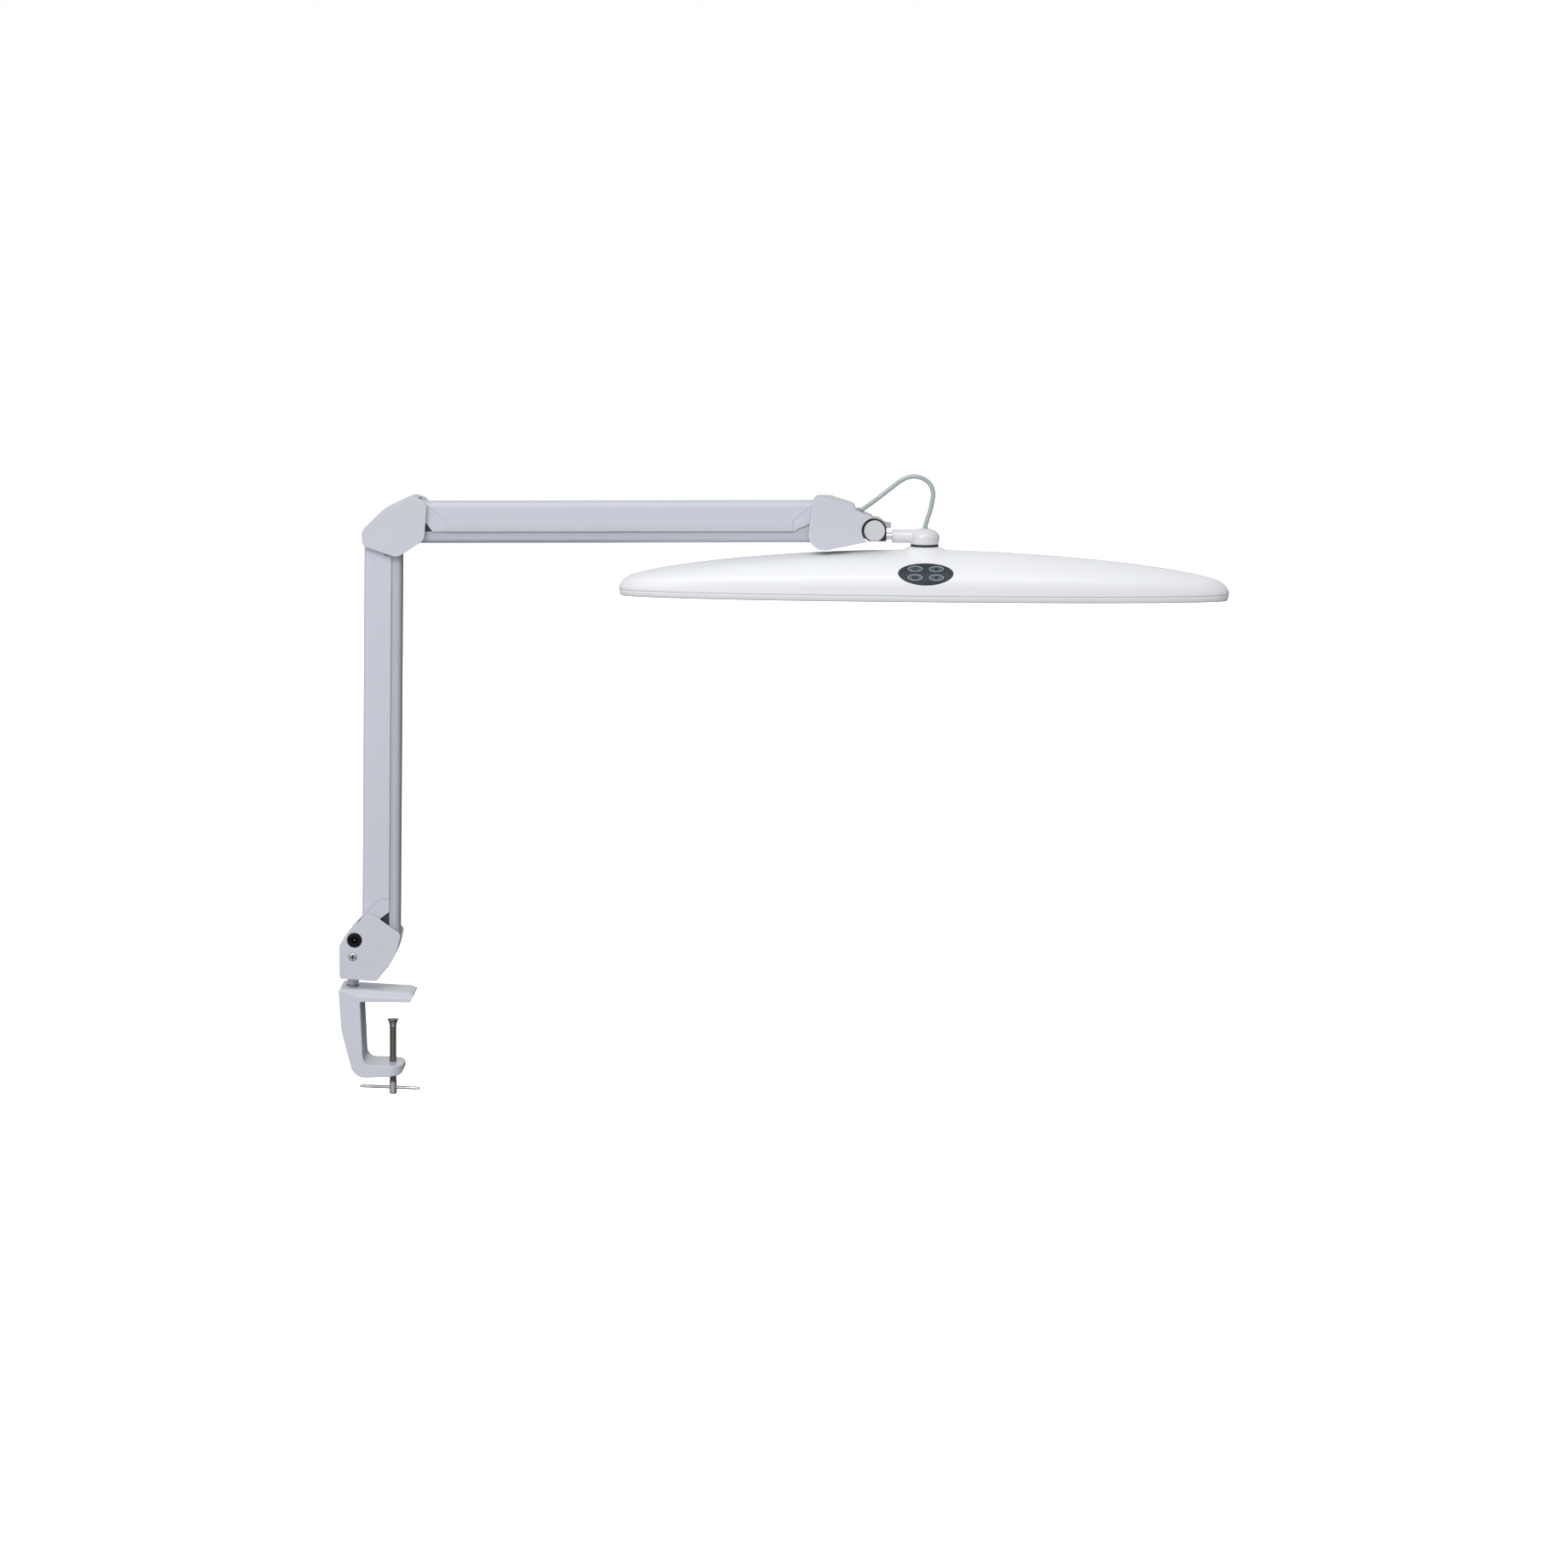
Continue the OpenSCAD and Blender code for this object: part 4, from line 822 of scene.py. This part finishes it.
UP_RECESSES = recess_pair(UPPER_LEN, [(-12, 2.6, 0), (-0.1, 19.2, 20), (8, 28.5, 9), (19, 28.7, 0)],
                          [(-12, -3.8, 0), (7.4, -28.3, 9), (19, -28.5, 0)])
SPRING_SPAN = 192
ARMS = (
    ("lower", LOWER_LEN, BASE_PIN, LEAN, LINK_LOW, WEB_OFF, LOW_NOTCH, LOW_RECESSES, -1.1, 70),
    ("upper", UPPER_LEN, SHOULDER_PIN, pi / 2 - RISE, LINK_UP, UPPER_WEB, UP_NOTCH, UP_RECESSES, -2.9, 80))
for name, length, pin, theta, link_off, web, notch, recesses, edge, spring_at in ARMS:
    lean, body, other, link_pin = math.degrees(theta), f"{name}_arm", f"{name}_link", pin + link_off
    outer = arm(outer_channel(length, notch, recesses, web), pin, lean)
    piece(f"{name}_outer_channel_folded", outer, ARM, body, angle=30)
    sheet, shade_piece = split_off_shade(inner_channel(length), edge)
    piece(f"{name}_inner_channel_folded", arm(sheet, link_pin, lean), INNER, other, angle=30)
    # black piece at the near end: painted shade where the notch shows the dark inside
    piece(f"{name}_inner_channel_shoe", arm(shade_piece, link_pin, lean), BLACK_AND_SHADE, other, angle=30)
    near, far = np.array([1.5, spring_at]), np.array([-6.5, spring_at + SPRING_SPAN])
    coil = arm(coil_spring(near, far + in_frame(link_off, theta)), pin, lean)
    piece(f"{name}_spring_coil", coil, SPRING, body, angle=80, weighted=False)
    for label, at, half, foot, rider in (("spring", near, OUTER_HALF, pin, body),
                                         ("link", far, INNER_HALF, link_pin, other)):
        end = half - SHEET + 0.2
        shank = turned([(0, -end), (1.6, -end), (1.6, -end + 2), (1.25, -end + 2.5), (1.25, end - 2.5),
                        (1.6, end - 2), (1.6, end), (0, end)], 0.2, 32)
        piece(f"{name}_{label}_anchor_pin", arm(along_y(shank, at), foot, lean), ZINC, rider)
    lead = tube([(-4.2, 8.5, z) for z in np.linspace(4, length - 4, 30)], LEAD_R)
    piece(f"{name}_lead_run", arm(lead, pin, lean), CABLE, body, angle=60)

dc_path = [(DC[0], 0.2, DC[1]), (DC[0] + 3.2, 4.1, DC[1] + 0.5), (-23.6, 7.2, 59.8),
           (BASE_PIN[0] - 7.5, 8.5, BASE_PIN[1] - 10)]
piece("base_lead_run", tube(smooth_path(dc_path), LEAD_R), CABLE, "base", angle=60)
ea = np.array([ELBOW_PIN[0] - 2, 8.5, ELBOW_PIN[1] + 1])
eb = np.array([SHOULDER_PIN[0] - 2, 8.5, SHOULDER_PIN[1] + 3])
lead = tube([ea + (eb - ea) * (0.1 + 0.8 * k / 6) for k in range(7)], LEAD_R)
piece("elbow_lead_run", lead, CABLE, "elbow", angle=60)

# ---- tilt, roll and swivel joint ----
BLOCK_HALF, BLOCK_R, FLAT_Z, PAINT_Y = 15.9, 11.2, -9.9, -11.2
CAP_R, BOLT_R, ROD_R = 9.7, 3, 3.4
block = union(cut_prism(circle(0, 0, BLOCK_R, 120), -BLOCK_HALF, BLOCK_HALF),
              cut_prism([(0, -20), (11.1, -20), (11.1, 0), (0, 0)], -BLOCK_HALF, BLOCK_HALF))
block = boolean(block, box(-30, 30, -30, 30, -40, FLAT_Z), box(-20, 8.5, -6.3, 6.3, -20, 20))
block = boolean(move(block, TILT_PIN[0], 0, TILT_PIN[1]), bore(TILT_PIN, BOLT_R + 0.05),
                along_x(rod(ROD_R, 0, 20, 0, 48), TILT_PIN[0] + 8, ROD_Z))
# the block is black in front of PAINT_Y and white behind it
painted = box(400, 600, PAINT_Y, 60, 350, 550)
front = eased(boolean(block.copy(), painted.copy()), 0.35, 3)
piece("tilt_block_front", front, BLACK_AND_SHADE, "tilt", angle=34)
piece("tilt_block_rear", eased(common(block, painted), 0.6, 3), CAP, "tilt", angle=34)
disc = circle(*TILT_PIN, CAP_R, 89, radians(-69.7), radians(319.4), True)
piece("tilt_cap_disc", prism([disc], -BLOCK_HALF - 2.4, -BLOCK_HALF, 0.45, 4), CAP, "tilt")
piece("tilt_bolt_turned", bore(TILT_PIN, BOLT_R, -BLOCK_HALF + 3, BLOCK_HALF + 3.4), ZINC, "head_knuckle")
wing = rounded([(2, -1, 0.5), (15.9, -0.4, 1.2), (16.1, 5.1, 1.2), (2, 7, 0.5)]) + TILT_PIN
lever = union(bore(TILT_PIN, 9.7, BLOCK_HALF + 0.3, BLOCK_HALF + 3.5),
              cut_prism(wing, BLOCK_HALF + 0.35, BLOCK_HALF + 5.5))
piece("lock_lever_wing", eased(boolean(lever, bore(TILT_PIN, BOLT_R + 0.05)), 0.45, 3), CAP, "lever")
bright_rod = turned([(0, 8.6), (ROD_R, 8.6), (ROD_R, 30.6), (0, 30.6)], 0.4, 64)
piece("head_rod_chromed", along_x(bright_rod, TILT_PIN[0], ROD_Z), CHROME, "tilt")

SLEEVE_X0, SLEEVE_R = TILT_PIN[0] + 16.3, 6.45
DOME_BOTTOM, DOME_R, DOME_MID = NECK_TOP + 2.1, 14, ROD_Z - 0.8
POST_R, POST_BORE = 5, 2.65
sleeve = rod(SLEEVE_R, 0, HEAD_X - SLEEVE_X0, 0.5, 96)
profile = [(0, DOME_BOTTOM), (12.9, DOME_BOTTOM), (13.5, DOME_BOTTOM + 2.5)]
profile += [(DOME_R * cos(a) ** 0.9, DOME_MID + 8.7 * sin(a)) for a in np.linspace(0, pi / 2, 20)[:-1]]
dome = move(lathe(profile + [(0, DOME_MID + 8.7)], 96), x=HEAD_X)
lug = box(HEAD_X - 12.6, HEAD_X - 8, -4, -0.5, DOME_BOTTOM - 1.4, DOME_BOTTOM + 3)
mouth = lathe([(0, 2), (2.4, 2), (2.4, 3.9), (2.6, 5.2), (3.1, 6.6), (3.9, 7.9), (4.8, 8.6), (0, 8.6)], 48)
housing = remeshed(union(along_x(sleeve, SLEEVE_X0, ROD_Z), dome, lug), 0.34, 6)
housing = boolean(housing, along_x(rod(ROD_R + 0.05, -1, 14.5, 0, 64), SLEEVE_X0, ROD_Z),
                  move(rod(POST_R, -3, 5, 0, 64), HEAD_X, 0, DOME_BOTTOM),
                  move(rod(2.4, 0, 30, 0, 48), HEAD_X, 0, DOME_BOTTOM), move(mouth, HEAD_X, 0, ROD_Z))
piece("swivel_housing_moulded", housing, GLOSS, "roll", angle=50)
post = turned([(POST_BORE, -12), (POST_R, -12), (POST_R, 5), (POST_BORE, 5)], 0.3, 48, closed=True)
piece("swivel_post_hollow", move(post, HEAD_X, 0, DOME_BOTTOM), ZINC, "roll")
washer = turned([(POST_R, 0), (13.1, 0), (13.1, 2), (POST_R, 2)], 0.4, 96, closed=True)
piece("swivel_washer_ring", move(washer, HEAD_X, 0, NECK_TOP + 0.05), BLACK_AND_SHADE, "roll")
nut = turned([(0, 0), (7.3, 0), (8, 0.5), (8, 3.5), (7.3, 4), (0, 4)], 0.1, 6)
nut = boolean(nut, rod(POST_R, -2, 8, 0, 48))
piece("swivel_nut_hex", move(nut, HEAD_X, 0, CREST_Z - 2 - 4.2), ZINC, "roll")

# ---- head ----
ANGLES = np.arange(288) * 2 * pi / 288


def power(v, e):
    return np.sign(v) * np.abs(v) ** e


def plan(a, b, t=0.0):
    """Superellipse of half axes a and b, set in by t, about the head's centre."""
    x, y = a * power(np.cos(ANGLES), 2 / PLAN_N), b * power(np.sin(ANGLES), 2 / PLAN_N)
    g = np.stack([power(x / a, PLAN_N - 1) / a, power(y / b, PLAN_N - 1) / b], 1)
    g /= np.linalg.norm(g, axis=1)[:, None]
    return np.stack([x, y], 1) - t * g


def spans(h):
    """Half axes of the dome at share h of its height; below 0 is the skirt under it."""
    w = SKIRT + DOME_H * h
    h = np.maximum(h, 0)
    fall = HALF_L * (1 - (1 - h ** CROWN_N) ** (1 / CROWN_N))
    edge = 0.26 * np.maximum(w - 2.2, 0) ** 1.5
    end_in = (fall + edge + np.sqrt((fall - edge) ** 2 + 1.5 ** 2) - 1.5) / 2
    return HALF_L - end_in, HALF_W * np.sqrt(1 - h * h)


def crown_height(x, y):
    """Share of the dome's height at points inside the plan."""
    lo, hi = np.zeros(np.shape(x)), np.ones(np.shape(x))
    for _ in range(46):
        mid = (lo + hi) / 2
        a, b = spans(mid)
        out = (np.abs(x) / np.maximum(a, 1e-9)) ** PLAN_N + (np.abs(y) / np.maximum(b, 1e-9)) ** PLAN_N > 1
        hi, lo = np.where(out, mid, hi), np.where(out, lo, mid)
    return (lo + hi) / 2


def row3(xy, z):
    return np.stack([xy[:, 0] + HEAD_X, xy[:, 1], np.broadcast_to(z, (len(xy),))], 1)


def full_row(t, z):
    """The head's whole plan, set in by t, at height z."""
    return row3(plan(HALF_L, HALF_W, t), z)


# the outer surface: split line, skirt, dome up to LAST_H of its height, crown, and neck
rows = [full_row(t, SPLIT_Z + z) for t, z in ((0.8, 0.02), (0.4, 0.12), (0.12, 0.35))]
rows += [row3(plan(*spans((w - SKIRT) / DOME_H)), SPLIT_Z + w) for w in np.linspace(0.8, SKIRT - 0.4, 9)]
LAST_H, CROWN_R = 0.7315, 27
for h in np.sin(np.linspace(0, math.asin(LAST_H), 34)):
    rows.append(row3(plan(*spans(h)), SHOULDER_Z + DOME_H * h))
outer = plan(*spans(LAST_H))
NECK = np.array([(0, 0), (13.2, 0), (14, -0.18), (15, -0.5), (16.5, -1.15), (18.5, -2.1), (21, -3.5),
                 (24, -5.6), (28, -9.0), (34, -15), (50, -34), (400, -400)])


def surface(xy):
    """Height of dome and neck, blended where they meet."""
    z = SHOULDER_Z + DOME_H * crown_height(xy[:, 0], xy[:, 1])
    neck = NECK_TOP + np.interp(np.hypot(*xy.T), NECK[:, 0], NECK[:, 1])
    k = 1.1
    d = np.clip(0.5 + 0.5 * (z - neck) / k, 0, 1)
    return neck * (1 - d) + z * d + k * d * (1 - d) * 0.5


ring = np.stack([np.cos(ANGLES), np.sin(ANGLES)], 1)
crown = [CROWN_R * ring + (outer - CROWN_R * ring) * k for k in 1 - np.linspace(0, 1, 26)[1:] ** 0.8]
crown += [r * ring for r in (25.5, 24, 22.5, 21, 19.5, 18.2, 17, 16, 15.2, 14.6, 14.1)]
rows += [row3(xy, surface(xy)) for xy in crown]
rows += [row3(r * ring, NECK_TOP - dz)
         for r, dz in ((13.8, 0.07), (13.3, 0.02), (12, 0), (9, 0), (5.25, 0), (5.05, 0.15))]
shell = grid(rows, cap_start=False, cap_end=False)
some = shell.polygons[3000]
if some.normal.dot(some.center - Vector((HEAD_X, 0, SPLIT_Z))) < 0:
    shell.flip_normals()
shell = with_modifiers(shell, ("SOLIDIFY", {"thickness": 2.0, "offset": -1.0, "use_even_offset": True,
                                            "use_rim": True}))

# keypad: local axes of the CAD panel, and the height of the shell's surface above its plane
KEY_TILT = radians(31)
PANEL_C = np.array([HEAD_X + 0.7, -38.2, SHOULDER_Z + 12.9])
EX, EY = np.array([1, 0, 0]), np.array([0, sin(KEY_TILT), cos(KEY_TILT)])
EN = np.array([0, -cos(KEY_TILT), sin(KEY_TILT)])
PANEL_L, PANEL_H = 51.3, 22.9


def on_plane(px, py, height):
    """World points over the panel's plane."""
    return PANEL_C + px[..., None] * EX + py[..., None] * EY + np.asarray(height)[..., None] * EN


def skin(px, py):
    """Height of the dome's surface over the panel's plane at local points."""
    lo, hi = np.full(px.shape, -7.0), np.full(px.shape, 5.0)
    for _ in range(40):
        mid = (lo + hi) / 2
        p = on_plane(px, py, mid)
        a, b = spans(np.clip((p[..., 2] - SHOULDER_Z) / DOME_H, 0, 0.9999))
        out = (np.abs(p[..., 0] - HEAD_X) / a) ** PLAN_N + (np.abs(p[..., 1]) / b) ** PLAN_N > 1
        hi, lo = np.where(out, mid, hi), np.where(out, lo, mid)
    return (lo + hi) / 2


def on_panel(px, py, lift):
    """World points that stand lift proud of the dome's surface."""
    return on_plane(px, py, skin(px, py) + lift)


def ellipse(l, h, n=96, at=(0, 0)):
    a = np.arange(n) * 2 * pi / n
    return at[0] + l / 2 * np.cos(a), at[1] + h / 2 * np.sin(a)


def oval_cutter(l, h, n, at, reach):
    return grid([on_plane(*ellipse(l, h, n, at), z) for z in (-reach, reach)])


def button(l, h, at, top, bottom, edge=0.5, n=72):
    """Oval body whose top follows the dome, with a round edge."""
    rows = [on_plane(*ellipse(l, h, n, at), bottom)]
    for a in np.linspace(0, pi / 2, 6):
        d = edge * (1 - cos(a))
        rows.append(on_panel(*ellipse(l - 2 * d, h - 2 * d, n, at), top - edge * (1 - sin(a))))
    for f in (0.8, 0.55, 0.3, 0.1):
        rows.append(on_panel(*ellipse((l - 2 * edge) * f, (h - 2 * edge) * f, n, at), top))
    return grid(rows)


piece("canopy_shell", boolean(shell, oval_cutter(PANEL_L, PANEL_H, 192, (0, 0), 12)), CANOPY, "head",
      angle=40)

KEYS = {"power": (-9.8, 4.45), "up": (9.8, 4.45), "mode": (-9.8, -4.45), "down": (9.8, -4.45)}
KEY_L, KEY_H, KEY_TOP, PRINT_TOP = 14, 6.4, 0.62, 0.73
panel = button(PANEL_L - 0.3, PANEL_H - 0.3, (0, 0), 0.3, -2.2, 0.35, 160)
panel = boolean(panel, *[oval_cutter(KEY_L + 0.5, KEY_H + 0.5, 72, at, 9) for at in KEYS.values()])
piece("keypad_panel_membrane", panel, PANEL, "head", angle=30)


def stroke(points, at, closed=False, w=0.15, lift=KEY_TOP):
    """Printed line, standing just proud of a key."""
    p = np.array(points, float)
    if closed:
        p = np.vstack([p, p[:1]])
    fine = [a + (b - a) * s for a, b in zip(p, p[1:]) for s in (0, 0.25, 0.5, 0.75)]
    fine = np.vstack(fine + [p[-1]])
    return tube(on_panel(at[0] + fine[:, 0], at[1] + fine[:, 1], lift), w, 8)


def patch(outline, at):
    """Filled symbol, a thin raised body on a key."""
    p = np.array(outline, float)
    p = np.vstack([a + (b - a) * s for a, b in zip(p, np.roll(p, -1, 0)) for s in (0, 0.5)])
    return grid([on_panel(at[0] + p[:, 0] * f, at[1] + p[:, 1] * f, lift)
                 for f, lift in ((1, 0.45), (1, 0.68), (0.97, 0.71), (0.6, 0.71), (0.1, 0.71))])


def arc(r, a0, a1, n=20, x=0):
    return [(x + r * cos(radians(a)), r * sin(radians(a))) for a in np.linspace(a0, a1, n)]


# each symbol: its filled outline and the lines printed over it
SYMBOLS = {
    "power": (arc(2.1, 0, 350, 36), [arc(0.95, 125, 415), [(0, 0.25), (0, 1.25)]]),
    "up": ([(-2.2, -1.3), (2.2, -1.3), (0, 1.8)], []),
    "down": ([(-2.2, 1.3), (0, -1.8), (2.2, 1.3)], []),
    "mode": (arc(1.25, -90, 90, 12, 1.5) + arc(1.25, 90, 270, 12, -1.5), [[(-1.0, 0), (1.0, 0)]]),
}
key_ring = np.stack(ellipse(13.1, 5.5), 1)
for name, at in KEYS.items():
    filled, lines = SYMBOLS[name]
    layers = [(button(KEY_L, KEY_H, at, KEY_TOP, -2.2, 0.35), 0), (stroke(key_ring, at, True, 0.4), 1),
              (patch(filled, at), 2)]
    layers += [(stroke(line, at, False, 0.13, PRINT_TOP), 1) for line in lines]
    slots = [k for me, k in layers for _ in me.polygons]
    o = piece(f"key_{name}_cap", join(*[me for me, _ in layers]), [KEY, PRINT, JACK], f"{name}_key", angle=60,
              weighted=False)
    for k, poly in zip(slots, o.data.polygons):
        poly.material_index = k

# rim and diffuser: profiles of [inset, height over the head's bottom] swept round the plan
RIM = [(0.9, RIM_H - 0.02), (0.4, RIM_H - 0.25), (0.2, RIM_H - 0.75), (0.5, RIM_H - 2.4), (0.95, 2.0),
       (1.3, 1.1), (1.8, 0.45), (2.4, 0.1), (3.0, 0), (3.7, 0), (4.1, 0.2), (4.2, 1.15), (2.4, 1.15),
       (2.4, RIM_H - 0.02)]
DIFFUSER = [(7, 3.2), (2.6, 3.2), (2.6, 1.25), (4.5, 1.2), (5.0, 0.7), (12, 0.6)]
rim = grid([full_row(t, HEAD_BOTTOM + z) for t, z in RIM], wrap_rows=True)
piece("canopy_rim_moulded", rim, CANOPY, "head", angle=35)
piece("diffuser_opal", grid([full_row(t, HEAD_BOTTOM + z) for t, z in DIFFUSER]), OPAL, "head", angle=35)

# ---- CAD nodes that stay: their shape is right and they lie inside the head ----
KEPT = {"led_board": BOARD, "leds": LED, "driver_board": PCB, "keypad_board": PCB, "canopy_screws": ZINC,
        "canopy_lead": CABLE}
for node, mat in KEPT.items():
    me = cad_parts[node].data
    me.materials.clear()
    me.materials.append(mat)
# ---- studio ----
floor_mat = bpy.data.materials.new("floor")
floor_mat.use_nodes = True
tree = floor_mat.node_tree
feed(tree, tree.nodes["Principled BSDF"], {"Base Color": (0.9, 0.9, 0.9, 1), "Roughness": 0.9,
                                           "Emission Color": (1, 1, 1, 1), "Emission Strength": 1.0})
floor_me = bpy.data.meshes.new("floor")
floor_me.from_pydata([(-30, -9, 0), (30, -9, 0), (30, 50, 0), (-30, 50, 0)], [], [(0, 1, 2, 3)])
floor_me.materials.append(floor_mat)
floor = link("floor", floor_me)
floor.location.z = -0.45
floor.visible_diffuse = floor.visible_glossy = floor.visible_shadow = floor.visible_transmission = False

# the room: bright above, in front and to the left, with a bright wall behind that starts at the horizon
world = bpy.data.worlds.new("world")
scene.world = world
world.use_nodes = True
tree = world.node_tree
tree.nodes.clear()
split = shader(tree, "SeparateXYZ", {"Vector": shader(tree, "TexCoord").outputs["Generated"]}).outputs
total = ROOM_BASE
for axis, far_end, share in (("Z", 1, ROOM_TOP), ("Y", -1, ROOM_FRONT), ("X", -1, ROOM_LEFT)):
    total = combine(tree, "ADD", remap(tree, split[axis], 0, far_end, 0, share), total)
behind, above = remap(tree, split["Y"], 0.3, 0.9, 0, ROOM_BACK), remap(tree, split["Z"], -0.02, 0.08)
total = combine(tree, "ADD", total, combine(tree, "MULTIPLY", behind, above))
room = shader(tree, "Background", {"Color": (0.98, 0.99, 1.0, 1), "Strength": total})
seen = shader(tree, "Background", {"Color": (1, 1, 1, 1)})
ray = shader(tree, "LightPath").outputs["Is Camera Ray"]
mix = shader(tree, "MixShader", {"Fac": ray, 1: room.outputs[0], 2: seen.outputs[0]})
shader(tree, "OutputWorld", {"Surface": mix.outputs[0]})


def area(name, at, aim, size, watts):
    data = bpy.data.lights.new(name, "AREA")
    data.shape, data.energy = "RECTANGLE", watts
    data.size, data.size_y = size
    o = link(name, data)
    o.location = at
    o.rotation_euler = (Vector(aim) - Vector(at)).to_track_quat("-Z", "Y").to_euler()


area("top_softbox", (0.15, -1.9, 2.1), (0.4, 0, 0.35), (1.8, 1.0), 22)
area("front_left_softbox", (-1.3, -2.6, 1.4), (0.35, 0, 0.25), (1.0, 1.4), 16)

scene.view_settings.view_transform = "Standard"
scene.view_settings.look = "None"
scene.view_settings.exposure = 0
scene.view_settings.gamma = 1
